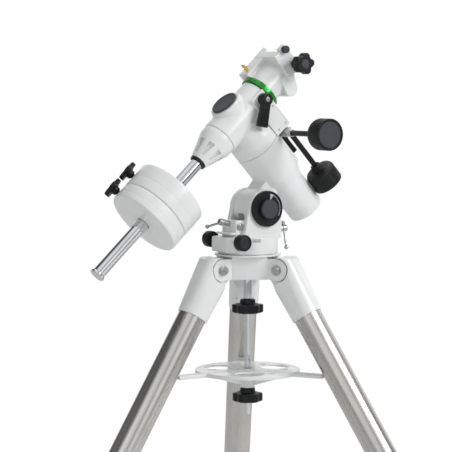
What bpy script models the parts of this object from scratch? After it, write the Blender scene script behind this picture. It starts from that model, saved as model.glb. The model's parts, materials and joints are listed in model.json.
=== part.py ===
"""A German equatorial mount on a steel-tube tripod, as separate sub-parts.

Lengths are millimetres and angles are degrees; the mesh helpers turn them into
Blender's metres and radians. +Z is up and the azimuth axis is upright, AXIS_Y behind the
origin, which lies on the floor under the middle of the mount's outline. The polar axis
rises towards -Y and the altitude axis lies along X.

Local frames (x is world X in all of them at rest):
  hub   on the azimuth axis, z = 0 near the tripod head's lower face
  leg   origin on a leg's pivot, x along the pivot, z up along the leg
  ra    origin where the polar and declination axes cross, z up the polar axis
  dec   same origin, z along the declination axis towards the saddle, y down the polar axis
"""

import math

import bmesh
import bpy
from mathutils import Matrix, Vector

MM = 0.001
GAP = 0.3
SIDES = 20

# Tripod
AXIS_Y = 111.4
HUB_HEIGHT = 620.0
LEG_SPLAY = 31.4
LEG_TURNS = {"1": 0.0, "2": 120.0, "3": 240.0}
PIVOT_RADIUS = 61.0
PIVOT_RISE = 5.5
TUBE_R = 22.25
TUBE_WALL = 1.6
LOWER_R = 15.9
TUBE_TOP = -37.0
TUBE_END = -646.4
SLEEVE_HALF = 24.0
SLEEVE_END = -84.4
EAR_R = 17.5
EAR_FACE = 22.0
EAR_WALL = 5.2
HUB_R = 27.8
PANEL_OUT = 41.6
PANEL_HALF = 28.0
CLEVIS_DEPTH = 33.0
HUB_LOW = -10.5
HEAD_PLATE_R = 53.0
HEAD_PLATE_LOW = 26.0
HEAD_TOP = 29.0
ROD_R = 5.0
TRAY_Z = -158.0
TRAY_REACH = 133.6

# Base and altitude fork
BASE_R = 48.0
BASE_TOP = 57.0
PEG_Y = -40.5
AZIMUTH_SCREW_Z = 50.0
CHEEK_IN = 19.5
CHEEK_OUT = 29.0
CHEEK_R = 31.0
PIVOT_Y = 15.2
PIVOT_Z = 100.8
NORTH_TIP_Z = 67.8
NORTH_TILT = 12.9
SOUTH_SCREW_Z = 66.0
DIAL_R = 28.5

# Polar axis; DOWN values count from the crossing down the axis
LATITUDE = 47.4
CROSS_Y = -21.3
CROSS_Z = 242.4
RA_R = 39.0
SEAM_DOWN = 57.7
RA_END_DOWN = 119.0
BAND_END_DOWN = 131.0
PIVOT_DOWN = 129.0
PIVOT_BELOW = 69.0
COVER_R = 29.2
COVER_END_DOWN = 200.0
SHAFT_R = 13.8
RA_WORM_DOWN = 65.0
RA_WORM_OFF = 38.0
RA_WORM_R = 4.5
KNOB_R = 25.5

# Declination axis; heights count from the crossing towards the saddle
DEC_R = 29.5
DEC_LOW = -44.0
DEC_TOP = 54.0
DEC_SHAFT_R = 9.0
DEC_WORM_X = 26.1
DEC_WORM_Z = 47.5
DEC_WORM_R = 3.5
CIRCLE_R = 32.0
CIRCLE_TOP = 63.5
ADAPTER_END = -97.0
ADAPTER_SHOULDER = -56.3
BAR_R = 10.0
BAR_END = -342.0
WEIGHT_R = 60.0
WEIGHT_FACES = {"rear": (-207.0, -164.0), "front": (-234.0, -207.4)}
WEIGHT_KNOB_TURN = {"rear": 31.0, "front": 33.0}
CHANNEL_LOW = 104.0
SEAT_Z = 119.0
WALL_TOP = 133.0
STAR_KNOB = (-3.0, 125.5)
LOCK_SCREW = (-33.5, 126.0)
CHANNEL_ENDS = (-9.0, 36.0)
LUG_Y = 22.0
LUG_Z = 96.0
LUG_R = 13.5


# ---------------------------------------------------------------- frames

def move(x=0.0, y=0.0, z=0.0):
    return Matrix.Translation(Vector((x, y, z)) * MM)


def turn(angle, axis):
    return Matrix.Rotation(math.radians(angle), 4, axis)


HUB = move(y=AXIS_Y, z=HUB_HEIGHT)
ALTITUDE = HUB @ move(y=PIVOT_Y, z=PIVOT_Z)
CROSSING = HUB @ move(y=CROSS_Y, z=CROSS_Z)
RA = CROSSING @ turn(90.0 - LATITUDE, "X")
DEC = CROSSING @ turn(-LATITUDE, "X")
ALONG_X = turn(90.0, "Y")


def pivot_frame(key):
    return HUB @ turn(LEG_TURNS[key], "Z") @ move(y=-PIVOT_RADIUS, z=PIVOT_RISE)


def leg_frame(key):
    return pivot_frame(key) @ turn(-LEG_SPLAY, "X")


# ---------------------------------------------------------------- materials

PALETTE = {
    "white_paint": ((0.86, 0.87, 0.87), 0.32, 0.0),
    "black_plastic": ((0.022, 0.023, 0.025), 0.45, 0.0),
    "grey_cap": ((0.14, 0.15, 0.17), 0.5, 0.0),
    "stainless": ((0.62, 0.61, 0.58), 0.25, 1.0),
    "chrome": ((0.75, 0.76, 0.78), 0.08, 1.0),
    "steel": ((0.45, 0.46, 0.47), 0.3, 1.0),
    "green_anodised": ((0.03, 0.32, 0.05), 0.3, 0.9),
    "brass": ((0.78, 0.58, 0.18), 0.25, 1.0),
    "bronze": ((0.62, 0.42, 0.2), 0.35, 1.0),
    "rubber": ((0.03, 0.03, 0.03), 0.8, 0.0),
}


def material(name):
    found = bpy.data.materials.get(name)
    if found:
        return found
    colour, roughness, metallic = PALETTE[name]
    made = bpy.data.materials.new(name)
    made.use_nodes = True
    surface = made.node_tree.nodes["Principled BSDF"]
    surface.inputs["Base Color"].default_value = (*colour, 1.0)
    surface.inputs["Roughness"].default_value = roughness
    surface.inputs["Metallic"].default_value = metallic
    return made


# ---------------------------------------------------------------- solids

def finish(bm, name, finish_name, frame):
    """Turns a bmesh in local millimetres into a smooth-shaded object in its frame."""
    bmesh.ops.remove_doubles(bm, verts=bm.verts, dist=1e-4)
    bmesh.ops.recalc_face_normals(bm, faces=bm.faces)
    bmesh.ops.scale(bm, vec=(MM, MM, MM), verts=bm.verts)
    mesh = bpy.data.meshes.new(name)
    bm.to_mesh(mesh)
    bm.free()
    mesh.shade_smooth()
    mesh.set_sharp_from_angle(angle=math.radians(35.0))
    obj = bpy.data.objects.new(name, mesh)
    bpy.context.scene.collection.objects.link(obj)
    obj.matrix_world = frame
    if finish_name:
        mesh.materials.append(material(finish_name))
    return obj


def turned(name, finish_name, frame, profile, sides=SIDES, closed=False):
    """Spins (radius, height) points about local z; a closed profile makes a ring."""
    bm = bmesh.new()
    verts = [bm.verts.new((r, 0.0, z)) for r, z in profile]
    pairs = list(zip(verts, verts[1:]))
    if closed:
        pairs.append((verts[-1], verts[0]))
    edges = [bm.edges.new(pair) for pair in pairs if pair[0].co.x or pair[1].co.x]
    bmesh.ops.spin(bm, geom=verts + edges, cent=(0, 0, 0), axis=(0, 0, 1),
                   angle=math.tau, steps=sides, use_merge=True)
    bmesh.ops.dissolve_degenerate(bm, dist=1e-4, edges=bm.edges)
    return finish(bm, name, finish_name, frame)


def rod(name, finish_name, frame, radius, low, high, sides=SIDES, chamfer=0.0):
    profile = [(0.0, low), (radius - chamfer, low)]
    if chamfer:
        profile += [(radius, low + chamfer), (radius, high - chamfer)]
    profile += [(radius - chamfer, high), (0.0, high)]
    return turned(name, finish_name, frame, profile, sides)


def ring(name, finish_name, frame, inner, outer, low, high, sides=SIDES):
    profile = [(inner, low), (outer, low), (outer, high), (inner, high)]
    return turned(name, finish_name, frame, profile, sides, closed=True)


def prism(name, finish_name, frame, outline, low, high, rounding=0.0):
    """Extrudes (x, y) points along local z."""
    bm = bmesh.new()
    face = bm.faces.new([bm.verts.new((x, y, low)) for x, y in outline])
    made = bmesh.ops.extrude_face_region(bm, geom=[face])
    top = [v for v in made["geom"] if isinstance(v, bmesh.types.BMVert)]
    bmesh.ops.translate(bm, verts=top, vec=(0, 0, high - low))
    if rounding:
        bmesh.ops.recalc_face_normals(bm, faces=bm.faces)
        bmesh.ops.bevel(bm, geom=bm.edges, offset=rounding, segments=1, profile=0.5,
                        affect="EDGES", clamp_overlap=True)
    return finish(bm, name, finish_name, frame)


def loft(name, finish_name, frame, low, high):
    """Joins two (x, y, z) outlines of equally many points with flat ends."""
    bm = bmesh.new()
    below = [bm.verts.new(point) for point in low]
    above = [bm.verts.new(point) for point in high]
    bm.faces.new(below)
    bm.faces.new(above)
    for i in range(len(below)):
        bm.faces.new((below[i - 1], below[i], above[i], above[i - 1]))
    return finish(bm, name, finish_name, frame)


def rounded_box(x, y_low, y_high, radius, z):
    """An outline at height z, with round corners, that is centred on x = 0."""
    corners = ((x - radius, y_high - radius, 0), (radius - x, y_high - radius, 90),
               (radius - x, y_low + radius, 180), (x - radius, y_low + radius, 270))
    points = []
    for cx, cy, start in corners:
        points += [(px, py, z) for px, py in arc(cx, cy, radius, start, start + 90, 5)]
    return points


def block(name, finish_name, frame, x, y, z, rounding=0.0):
    outline = [(x[0], y[0]), (x[1], y[0]), (x[1], y[1]), (x[0], y[1])]
    return prism(name, finish_name, frame, outline, z[0], z[1], rounding)


def arc(cx, cy, radius, start, end, steps):
    points = []
    for i in range(steps + 1):
        a = math.radians(start + (end - start) * i / steps)
        points.append((cx + radius * math.cos(a), cy + radius * math.sin(a)))
    return points


def lobes(radius, depth, count, per_lobe=6):
    """The outline of a star knob: a circle with evenly spaced hollows."""
    points = []
    for i in range(count * per_lobe):
        a = math.tau * i / (count * per_lobe)
        r = radius - depth * (0.5 - 0.5 * math.cos(count * a)) ** 1.5
        points.append((r * math.cos(a), r * math.sin(a)))
    return points


def merge_flats(mesh):
    """Welds the slivers a Boolean leaves and joins the faces that lie in one plane."""
    bm = bmesh.new()
    bm.from_mesh(mesh)
    bmesh.ops.remove_doubles(bm, verts=bm.verts, dist=2e-6)
    bmesh.ops.dissolve_degenerate(bm, dist=1e-6, edges=bm.edges)
    bmesh.ops.dissolve_limit(bm, angle_limit=math.radians(0.2), verts=bm.verts,
                             edges=bm.edges, use_dissolve_boundaries=False)
    bmesh.ops.triangulate(bm, faces=bm.faces)
    bm.to_mesh(mesh)
    bm.free()


def combine(obj, operation, others):
    """Applies Boolean modifiers one by one, then removes the tool objects."""
    for other in others:
        step = obj.modifiers.new("step", "BOOLEAN")
        step.operation = operation
        step.solver = "EXACT"
        step.object = other
        bpy.context.view_layer.update()
        graph = bpy.context.evaluated_depsgraph_get()
        mesh = bpy.data.meshes.new_from_object(obj.evaluated_get(graph))
        obj.modifiers.clear()
        obj.data = mesh
        bpy.data.objects.remove(other)
    merge_flats(obj.data)
    obj.data.shade_smooth()
    obj.data.set_sharp_from_angle(angle=math.radians(35.0))
    obj.data.name = obj.name
    return obj


def unite(obj, *others):
    return combine(obj, "UNION", others)


def cut(obj, *others):
    return combine(obj, "DIFFERENCE", others)


def keep_inside(obj, *others):
    return combine(obj, "INTERSECT", others)


def hold(name, frame, *pieces):
    """Parents pieces to an empty that stands on their joint's axis."""
    empty = bpy.data.objects.new(name, None)
    bpy.context.scene.collection.objects.link(empty)
    empty.matrix_world = frame
    bpy.context.view_layer.update()
    for piece in pieces:
        world = piece.matrix_world.copy()
        piece.parent = empty
        piece.matrix_parent_inverse = frame.inverted()
        piece.matrix_world = world
    return empty


# ---------------------------------------------------------------- tripod

def ear(key, side):
    """One cheek of a leg's clevis, from the hub out to a round end about the pivot."""
    low_edge = HUB_LOW + 0.6
    outline = [(HUB_R - 8, low_edge), (PIVOT_RADIUS - 7, low_edge)]
    outline += arc(PIVOT_RADIUS, PIVOT_RISE, EAR_R, -90, 90, 8)
    outline += [(HUB_R - 8, PIVOT_RISE + EAR_R)]
    low = EAR_FACE - EAR_WALL - 0.2 if side > 0 else -EAR_FACE
    upright = HUB @ turn(LEG_TURNS[key], "Z") @ turn(-90, "Z") @ turn(90, "X")
    return prism(f"ear_{key}{side}", None, upright, outline, low, low + EAR_WALL + 0.2)


def panel(angle):
    """One of the head's flat sides, midway between two legs."""
    return block("panel", None, HUB @ turn(angle, "Z"), (-PANEL_HALF, PANEL_HALF),
                 (-PANEL_OUT, -5), (HUB_LOW + 0.3, HEAD_PLATE_LOW + 1))


def clevis_room(key):
    """The space between a leg's two ears."""
    wide = EAR_FACE - EAR_WALL
    return block("room", None, HUB @ turn(LEG_TURNS[key], "Z"), (-wide, wide),
                 (-90, -CLEVIS_DEPTH), (HUB_LOW - 5, HEAD_PLATE_LOW))


def tripod_head():
    head = turned("tripod_head", "white_paint", HUB, [
        (0, HUB_LOW), (HUB_R - 1, HUB_LOW), (HUB_R, HUB_LOW + 1), (HUB_R, HEAD_PLATE_LOW),
        (HEAD_PLATE_R - 0.8, HEAD_PLATE_LOW), (HEAD_PLATE_R, HEAD_PLATE_LOW + 0.8),
        (HEAD_PLATE_R, HEAD_TOP - 0.8), (HEAD_PLATE_R - 0.8, HEAD_TOP), (0, HEAD_TOP)],
        sides=28)
    unite(head, *[panel(angle + 60) for angle in LEG_TURNS.values()])
    unite(head, *[ear(key, side) for key in LEG_TURNS for side in (1, -1)])
    cut(head, *[clevis_room(key) for key in LEG_TURNS])
    unite(head, rod("peg", None, HUB @ move(y=PEG_Y), ROD_R, HEAD_TOP - 2, 55.5, 10))
    bores = [rod("bore", None, HUB, ROD_R + 0.4, -30, 40, 12)]
    for key in LEG_TURNS:
        bores.append(rod("hole", None, pivot_frame(key) @ ALONG_X, 4.3, -30, 30, 8))
    return cut(head, *bores)


def leg_bolt(key):
    """A hexagon-headed pivot bolt with its nut, in one piece as it is clamped."""
    across = pivot_frame(key) @ ALONG_X
    face = EAR_FACE + GAP
    bolt = rod(f"leg_bolt_{key}", "steel", across, 3.9, -face - 6, face + 1, 8)
    head = rod("head", None, across, 7.0, face, face + 5, 6)
    nut = rod("nut", None, across, 7.0, -face - 5, -face, 6)
    return unite(bolt, head, nut)


def leg_casting(key):
    """The cast shoulder of a leg: a tongue in the clevis above a sleeve, whose section
    is nearly round at its lower end and squarer towards the top."""
    frame = leg_frame(key)
    side_view = frame @ turn(90, "Z") @ turn(90, "X")
    half = SLEEVE_HALF
    body = loft(f"leg_casting_{key}", "white_paint", frame,
                rounded_box(half, -half, half, 22, SLEEVE_END),
                rounded_box(half, -half - 5, half, 13, 24))
    shoulder = [(-40, SLEEVE_END - 9), (40, SLEEVE_END - 9), (40, -43), (22, -43), (19, -22)]
    shoulder += arc(0, 0, 19.5, 0, 55, 4)
    shoulder += [(-9, 18), (-22, 10), (-27, 5.5), (-40, -4)]
    keep_inside(body, prism("shoulder", None, side_view, shoulder, -40, 40))
    for side in (1, -1):
        reach = sorted((side * (EAR_FACE - EAR_WALL - GAP), side * 40))
        cut(body, rod("pocket", None, frame @ ALONG_X, EAR_R + 2.5, *reach),
            block("swing_room", None, frame, reach, (-2.5, 40), (-18.6, 40)))
    cut(body, rod("pivot", None, frame @ ALONG_X, 4.3, -30, 30, 8),
        rod("bore", None, frame, TUBE_R + GAP, SLEEVE_END - 5, TUBE_TOP + 3, 20))
    return body


def leg_tube(key):
    return ring(f"leg_tube_{key}", "stainless", leg_frame(key), TUBE_R - TUBE_WALL,
                TUBE_R, TUBE_END, TUBE_TOP, 20)


def leg_clamp(key):
    """The clamp collar on the lower end of a leg's upper tube, with its screw boss."""
    frame = leg_frame(key)
    collar = turned(f"leg_clamp_{key}", "black_plastic", frame, [
        (LOWER_R + GAP, TUBE_END - 22), (22, TUBE_END - 22), (27, TUBE_END - 16),
        (27, TUBE_END + 24), (25, TUBE_END + 26), (TUBE_R + GAP, TUBE_END + 26),
        (TUBE_R + GAP, TUBE_END - GAP), (LOWER_R + GAP, TUBE_END - GAP)], 20, closed=True)
    out = frame @ move(z=TUBE_END - 11) @ turn(90, "X")
    unite(collar, rod("boss", None, out, 8.5, 18, 33, 10))
    return cut(collar, rod("thread", None, out, 3.8, 10, 40, 8))


def clamp_screw(key):
    """A wing screw that presses on the lower tube."""
    out = leg_frame(key) @ move(z=TUBE_END - 11) @ turn(90, "X")
    screw = rod(f"clamp_screw_{key}", "steel", out, 3.5, LOWER_R + GAP, 38, 8)
    wings = prism("wings", None, out @ move(z=33.5), lobes(14, 6, 2, 8), 0, 11)
    return unite(screw, wings)


def lower_leg(key):
    """The inner tube with its pressed-on rubber foot, whose sole lies on the floor."""
    frame = leg_frame(key)
    sole_down = (HUB_HEIGHT + PIVOT_RISE) / math.cos(math.radians(LEG_SPLAY))
    leg = ring(f"lower_leg_{key}", "stainless", frame, LOWER_R - 1.4, LOWER_R,
               -sole_down + 22, TUBE_END + 480, 20)
    foot = turned("foot", None, frame, [
        (0, -sole_down - 20), (15, -sole_down - 20), (20, -sole_down + 12),
        (20, -sole_down + 40), (17.5, -sole_down + 44), (LOWER_R - 0.5, -sole_down + 44),
        (LOWER_R - 0.5, -sole_down + 26), (0, -sole_down + 26)], 20)
    unite(leg, foot)
    floor = block("floor", None, Matrix(), (-600, 600), (-600, 600), (-60, 0))
    return cut(leg, floor)


def centre_rod():
    return turned("centre_rod", "chrome", HUB, [
        (0, -230), (ROD_R - 1, -230), (ROD_R, -229), (ROD_R, -44), (6.5, -44),
        (6.5, HUB_LOW - GAP), (ROD_R, HUB_LOW - GAP), (ROD_R, 41), (ROD_R - 1, 42),
        (0, 42)], 12)


def star_knob(name, frame, top, radius):
    """A lobed knob below its round neck, bored for the centre rod."""
    knob = prism(name, "black_plastic", frame, lobes(radius, 3.2, 6, 4), top - 22, top - 9, 0.8)
    unite(knob, rod("neck", None, frame, 12, top - 12, top, 16))
    return cut(knob, rod("bore", None, frame, ROD_R + GAP, top - 40, top + 10, 12))


def tray():
    """Three channel arms that brace the legs, a holed disc and a hub with gussets."""
    plate = rod("tray", "white_paint", HUB, 84, TRAY_Z - 3, TRAY_Z, 36)
    for key, angle in LEG_TURNS.items():
        out = HUB @ turn(angle, "Z")
        unite(plate, block("arm", None, out, (-9, 9), (-TRAY_REACH, -5),
                           (TRAY_Z - 5.5, TRAY_Z + 0.5)))
        gusset = [(-86, TRAY_Z - 2), (-5, TRAY_Z - 2), (-5, TRAY_Z - 27), (-12, TRAY_Z - 25)]
        side_view = out @ turn(90, "Z") @ turn(90, "X")
        unite(plate, prism("gusset", None, side_view, [(y, z) for y, z in gusset], -2, 2))
        between = HUB @ turn(angle + 60, "Z")
        cut(plate, rod("big", None, between @ move(y=-52), 24, TRAY_Z - 9, TRAY_Z + 5, 16))
        for side in (-1, 1):
            spot = between @ turn(side * 34, "Z") @ move(y=-58)
            cut(plate, rod("small", None, spot, 8.5, TRAY_Z - 9, TRAY_Z + 5, 10))
    unite(plate, rod("hub", None, HUB, 11.5, TRAY_Z - 29, TRAY_Z + 2, 16))
    return cut(plate, rod("bore", None, HUB, ROD_R + GAP, TRAY_Z - 40, TRAY_Z + 10, 12))


# ---------------------------------------------------------------- base and fork

def cheek(x_low, x_high):
    side_view = HUB @ turn(90, "Z") @ turn(90, "X")
    outline = [(PIVOT_Y + CHEEK_R, BASE_TOP - 4), (PIVOT_Y + CHEEK_R, PIVOT_Z)]
    outline += arc(PIVOT_Y, PIVOT_Z, CHEEK_R, 0, 180, 14)[1:]
    outline += [(-24, 66), (-27, BASE_TOP - 4)]
    return prism("cheek", None, side_view, outline, x_low, x_high)


def azimuth_base():
    """The turning base: a ring, the azimuth screws' block and the altitude fork."""
    base = turned("azimuth_base", "white_paint", HUB, [
        (0, HEAD_TOP + GAP), (BASE_R - 1, HEAD_TOP + GAP), (BASE_R, HEAD_TOP + 1.5),
        (BASE_R, BASE_TOP - 2), (BASE_R - 2, BASE_TOP), (0, BASE_TOP)], 32)
    nose = [(-32, -10), (-32, -46), (-22, -54), (22, -54), (32, -46), (32, -10)]
    nose_block = prism("nose", None, HUB, nose, HEAD_TOP + 4, BASE_TOP - 0.4, 2.0)
    unite(base, nose_block, cheek(CHEEK_IN, CHEEK_OUT), cheek(-CHEEK_OUT, -CHEEK_IN))
    unite(base,
          block("floor", None, HUB, (-21, 21), (-25, 44), (BASE_TOP - 3, 60)),
          block("north_wall", None, HUB, (-20, 20), (-36, -18.5), (BASE_TOP - 4, 83)),
          block("south_wall", None, HUB, (-20.5, 20.5), (38.5, 45.8), (BASE_TOP - 2, 76)),
          block("ledge", None, HUB, (-22, 22), (-46, -30), (60.5, 64)),
          rod("south_boss", None, HUB @ move(z=SOUTH_SCREW_Z) @ turn(90, "X"), 7, -50.5, -42, 12))
    along_y = turn(90, "X")
    cutters = [
        block("peg_slot", None, HUB, (-12.4, 12.4), (PEG_Y - 6, PEG_Y + 6.2),
              (HEAD_TOP - 5, 56)),
        rod("azimuth_thread", None, HUB @ move(y=PEG_Y, z=AZIMUTH_SCREW_Z) @ ALONG_X,
            4.4, -40, 40, 12),
        rod("rod_well", None, HUB, ROD_R + 0.4, HEAD_TOP - 5, 46, 12),
        rod("north_thread", None, north_screw_frame(), 4.4, 10, 48, 12),
        rod("south_thread", None, HUB @ move(z=SOUTH_SCREW_Z) @ along_y, 4.4, -60, -30, 12),
        rod("pivot", None, ALTITUDE @ ALONG_X, 11.5, 0, 40),
        rod("bolt_hole", None, ALTITUDE @ ALONG_X, 6.4, -40, 10, 12),
    ]
    for side in (1, -1):
        frame = HUB @ move(y=PEG_Y, z=AZIMUTH_SCREW_Z) @ turn(90 * side, "Y")
        cutters.append(rod("knob_room", None, frame, 13.8, 32.5, 60))
    return cut(base, *cutters)


def azimuth_knob(number, side):
    """A knurled knob on the screw that pushes the peg from one side."""
    frame = HUB @ move(y=PEG_Y, z=AZIMUTH_SCREW_Z) @ turn(90 * side, "Y")
    return turned(f"azimuth_knob_{number}", "black_plastic", frame, [
        (0, ROD_R + GAP), (4, ROD_R + GAP), (4, 37.8), (9, 38), (12.2, 38.8), (13, 40),
        (13, 52), (11.5, 54), (9.6, 54), (9.6, 53), (0, 53)])


def north_screw_frame():
    return (HUB @ move(y=4.8, z=NORTH_TIP_Z) @ turn(90 - NORTH_TILT, "X")
            @ turn(104, "Z"))


def tommy_screw(name, frame, tip, eye, shift):
    """A screw whose cross bar ends in two balls; z runs outwards along the screw."""
    screw = turned(name, "steel", frame, [
        (0, tip), (1.5, tip), (4, tip + 4), (4, eye - 4), (5.5, eye - 3), (5.5, eye + 4),
        (4, eye + 5.5), (0, eye + 5.5)], 10)
    bar = frame @ move(z=eye) @ turn(90, "X")
    unite(screw, rod("bar", None, bar, 1.8, shift - 20, shift + 20, 6))
    for end in (shift - 20, shift + 20):
        unite(screw, turned("ball", None, bar @ move(z=end),
                            arc(0, 0, 3.4, -90, 90, 4), 8))
    return screw


def latitude_screws():
    south = HUB @ move(y=PIVOT_Y, z=SOUTH_SCREW_Z) @ turn(-90, "X") @ turn(-14, "Z")
    return [tommy_screw("latitude_screw_north", north_screw_frame(), 0, 55.6, -20),
            tommy_screw("latitude_screw_south", south, 11.1, 54.6, -11.5)]


def altitude_bolt():
    """The pivot bolt, with its round cap over the dial and a nut on the far cheek."""
    frame = ALTITUDE @ ALONG_X
    bolt = turned("altitude_bolt", "grey_cap", frame, [
        (0, -38), (6, -38), (6, 34.8), (15, 34.8), (15, 40), (13.5, 41.5), (0, 41.5)])
    return unite(bolt, rod("nut", None, frame, 10.5, -37, -CHEEK_OUT - GAP, 6))


def latitude_dial():
    return turned("latitude_dial", "black_plastic", ALTITUDE @ ALONG_X, [
        (6.4, CHEEK_IN), (11, CHEEK_IN), (11, CHEEK_OUT + GAP), (DIAL_R, CHEEK_OUT + GAP),
        (DIAL_R, 33.5), (DIAL_R - 1, 34.5), (6.4, 34.5)], 28, closed=True)


# ---------------------------------------------------------------- polar axis

def ra_housing():
    """The fixed polar body with its neck, the altitude barrel and the worm's tube."""
    body = turned("ra_housing", "white_paint", RA, [
        (0, -BAND_END_DOWN), (33, -BAND_END_DOWN), (33, -RA_END_DOWN), (37.5, -RA_END_DOWN),
        (RA_R, -RA_END_DOWN + 1.5), (RA_R, -SEAM_DOWN), (0, -SEAM_DOWN)], 28)
    across = RA @ move(y=-PIVOT_BELOW, z=-PIVOT_DOWN) @ ALONG_X
    half = CHEEK_IN - GAP
    unite(body, rod("barrel", None, across, 30, -half, half, 28))
    neck = [(-32, -101), (-30, -131), (-52, -146), (-69, -140), (-69, -106)]
    side_view = RA @ turn(90, "Y") @ turn(90, "Z")
    unite(body, prism("neck", None, side_view, neck, -half + 0.5, half - 0.5))
    worm_tube = RA @ move(y=RA_WORM_OFF, z=-RA_WORM_DOWN) @ ALONG_X
    unite(body, rod("worm_tube", None, worm_tube, 7.2, -20, 20, 14))
    slot = block("slot", None, ALTITUDE, (-8, 8), (-40, 40), (-50, -8))
    cut(body, slot)
    unite(body, block("lug", None, ALTITUDE, (-7.5, 7.5), (-9, 9), (-38, -6)))
    cutters = [
        rod("bore", None, RA, SHAFT_R + GAP, -140, -50, 20),
        rod("wheel_room", None, RA, 34.5, -70.5, -50, 28),
        rod("worm_bore", None, worm_tube, RA_WORM_R + GAP + 0.2, -17, 25, 12),
        rod("pivot_bore", None, across, 6.4, -30, 30, 12),
        rod("cover_seat", None, RA, 27.8, -140, -BAND_END_DOWN + 6, 24),
    ]
    return cut(body, *cutters)


def polar_cover():
    """The cap over the polar scope, with a spigot that plugs into the housing."""
    low = -COVER_END_DOWN
    seat = -BAND_END_DOWN
    return turned("polar_cover", "white_paint", RA, [
        (0, low), (COVER_R - 5, low), (COVER_R - 1.5, low + 1.5), (COVER_R, low + 5),
        (COVER_R, seat - GAP), (27.2, seat - GAP), (27.2, seat + 4), (25, seat + 4),
        (25, low + 3), (0, low + 3)], 24)


def ra_shaft():
    return ring("ra_shaft", "steel", RA, 10.5, SHAFT_R, -124, -29.5, 20)


def wheel(name, frame, bore, radius, middle, half):
    """A worm wheel's blank."""
    return ring(name, "bronze", frame, bore, radius, middle - half, middle + half, 28)


def worm(name, frame, root, tip, half, shank_low, shank_high, shank_r):
    """A worm: ridges along a shank, clear of the wheel's rim."""
    profile = [(0, shank_low), (shank_r, shank_low), (shank_r, -half - 1), (root, -half)]
    ridges = 3
    for i in range(ridges):
        z = -half + 2 * half * (i + 0.5) / ridges
        reach = half / ridges
        profile += [(root, z - reach * 0.7), (tip, z - reach * 0.2),
                    (tip, z + reach * 0.2), (root, z + reach * 0.7)]
    profile += [(root, half), (shank_r, half + 1), (shank_r, shank_high), (0, shank_high)]
    return turned(name, "steel", frame, profile, 10)


def slow_rod(name, frame, start, neck_end, end, coupler_r):
    """A slow-motion rod: a coupler sleeve, then the long rod up to its knob."""
    return turned(name, "black_plastic", frame, [
        (2.6, start), (coupler_r, start), (coupler_r, neck_end), (4.4, neck_end + 1),
        (4.4, end), (0, end), (0, start + 8), (2.6, start + 8)], 12, closed=True)


def slow_knob(name, frame, start):
    """A slow-motion knob with a stepped collar; its face is 37 mm past its start."""
    return turned(name, "black_plastic", frame, [
        (4.7, start - 4), (8, start - 4), (8, start), (10.5, start), (10.5, start + 5.5),
        (18, start + 5.5), (KNOB_R - 3, start + 7.5), (KNOB_R - 0.6, start + 11.5),
        (KNOB_R - 0.6, start + 34.5), (KNOB_R - 2.6, start + 37), (0, start + 37),
        (0, start + 20), (4.7, start + 20)], 24, closed=True)


def lever(name, frame, hub_r, hub_span, arm_span, reach, half):
    """A clutch lever: a round hub about local z and an arm towards local -y."""
    hub = rod(name, "black_plastic", frame, hub_r, *hub_span, 14, chamfer=1.0)
    arm = [(-hub_r * 0.8, 0), (-hub_r * 0.8, -14), (-half, -reach), (half, -reach),
           (hub_r * 0.8, -14), (hub_r * 0.8, 0)]
    return unite(hub, prism("arm", None, frame, arm, *arm_span, 0.8))


# ---------------------------------------------------------------- declination axis

def dec_housing():
    """The head that turns about the polar axis and carries the declination shaft."""
    head = turned("dec_housing", "white_paint", DEC, [
        (0, DEC_LOW), (DEC_R - 1, DEC_LOW), (DEC_R, DEC_LOW + 1), (DEC_R, DEC_TOP - 1),
        (DEC_R - 1, DEC_TOP), (0, DEC_TOP)], 28)
    polar = turned("polar", None, RA, [
        (0, -SEAM_DOWN + GAP), (RA_R, -SEAM_DOWN + GAP), (RA_R, -38), (DEC_R, -18), (27, 0),
        (26.5, 33), (0, 33)], 28)
    unite(head, polar)
    unite(head, block("worm_pad", None, DEC, (10, 31.2), (-16, 8), (24, DEC_TOP - 0.4)))
    cutters = [
        rod("dec_bore", None, DEC, DEC_SHAFT_R + GAP, DEC_LOW - 5, DEC_TOP + 5, 16),
        rod("ra_bore", None, RA, 11, -70, 40, 16),
        rod("shaft_seat", None, RA, SHAFT_R + GAP, -70, -29, 20),
        rod("wheel_room", None, DEC, 23.4, 43.9, DEC_TOP + 5, 28),
        block("worm_room", None, DEC, (15, DEC_WORM_X + 3.8), (-13, 40),
              (43.9, DEC_TOP + 5)),
    ]
    return cut(head, *cutters)


def front_cap():
    return turned("front_cap", "grey_cap", RA, [
        (0, 26), (10.6, 26), (10.6, 33 + GAP), (22, 33 + GAP), (22, 35.5), (21, 36.5),
        (0, 36.5)], 24)


def dec_shaft():
    """The declination shaft, cross-drilled so that the polar scope looks through it."""
    shaft = rod("dec_shaft", "steel", DEC, DEC_SHAFT_R, DEC_LOW + 1, 82, 16, chamfer=1.0)
    return cut(shaft, rod("window", None, RA, 5.5, -20, 20, 12))


def dec_worm_cover():
    """The box beside the housing that runs down from it over the declination worm."""
    half = 9.5
    box = block("dec_worm_cover", "white_paint", DEC, (DEC_WORM_X - half, DEC_WORM_X + half),
                (8 + GAP, 57.4), (23, DEC_TOP - 0.2), 0.8)
    inner = DEC @ move(x=DEC_WORM_X, z=DEC_WORM_Z) @ turn(-90, "X")
    room = (DEC_WORM_X - 3.8, DEC_WORM_X + 3.8)
    unite(box, rod("boss", None, inner, 4.6, 50, 61.5, 12))
    over_polar = [(0, -75), (RA_R + GAP, -75), (RA_R + GAP, -37.7), (DEC_R, -17.5), (DEC_R, 0),
                  (0, 0)]
    cut(box, turned("polar_room", None, RA, over_polar, 28))
    return cut(box, rod("hollow", None, DEC, DEC_R + GAP, 10, 70, 28),
               block("room", None, DEC, room, (0, 55), (43.9, DEC_TOP - 1)),
               rod("worm_bore", None, inner, 2.8, 40, 70, 10))


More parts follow.
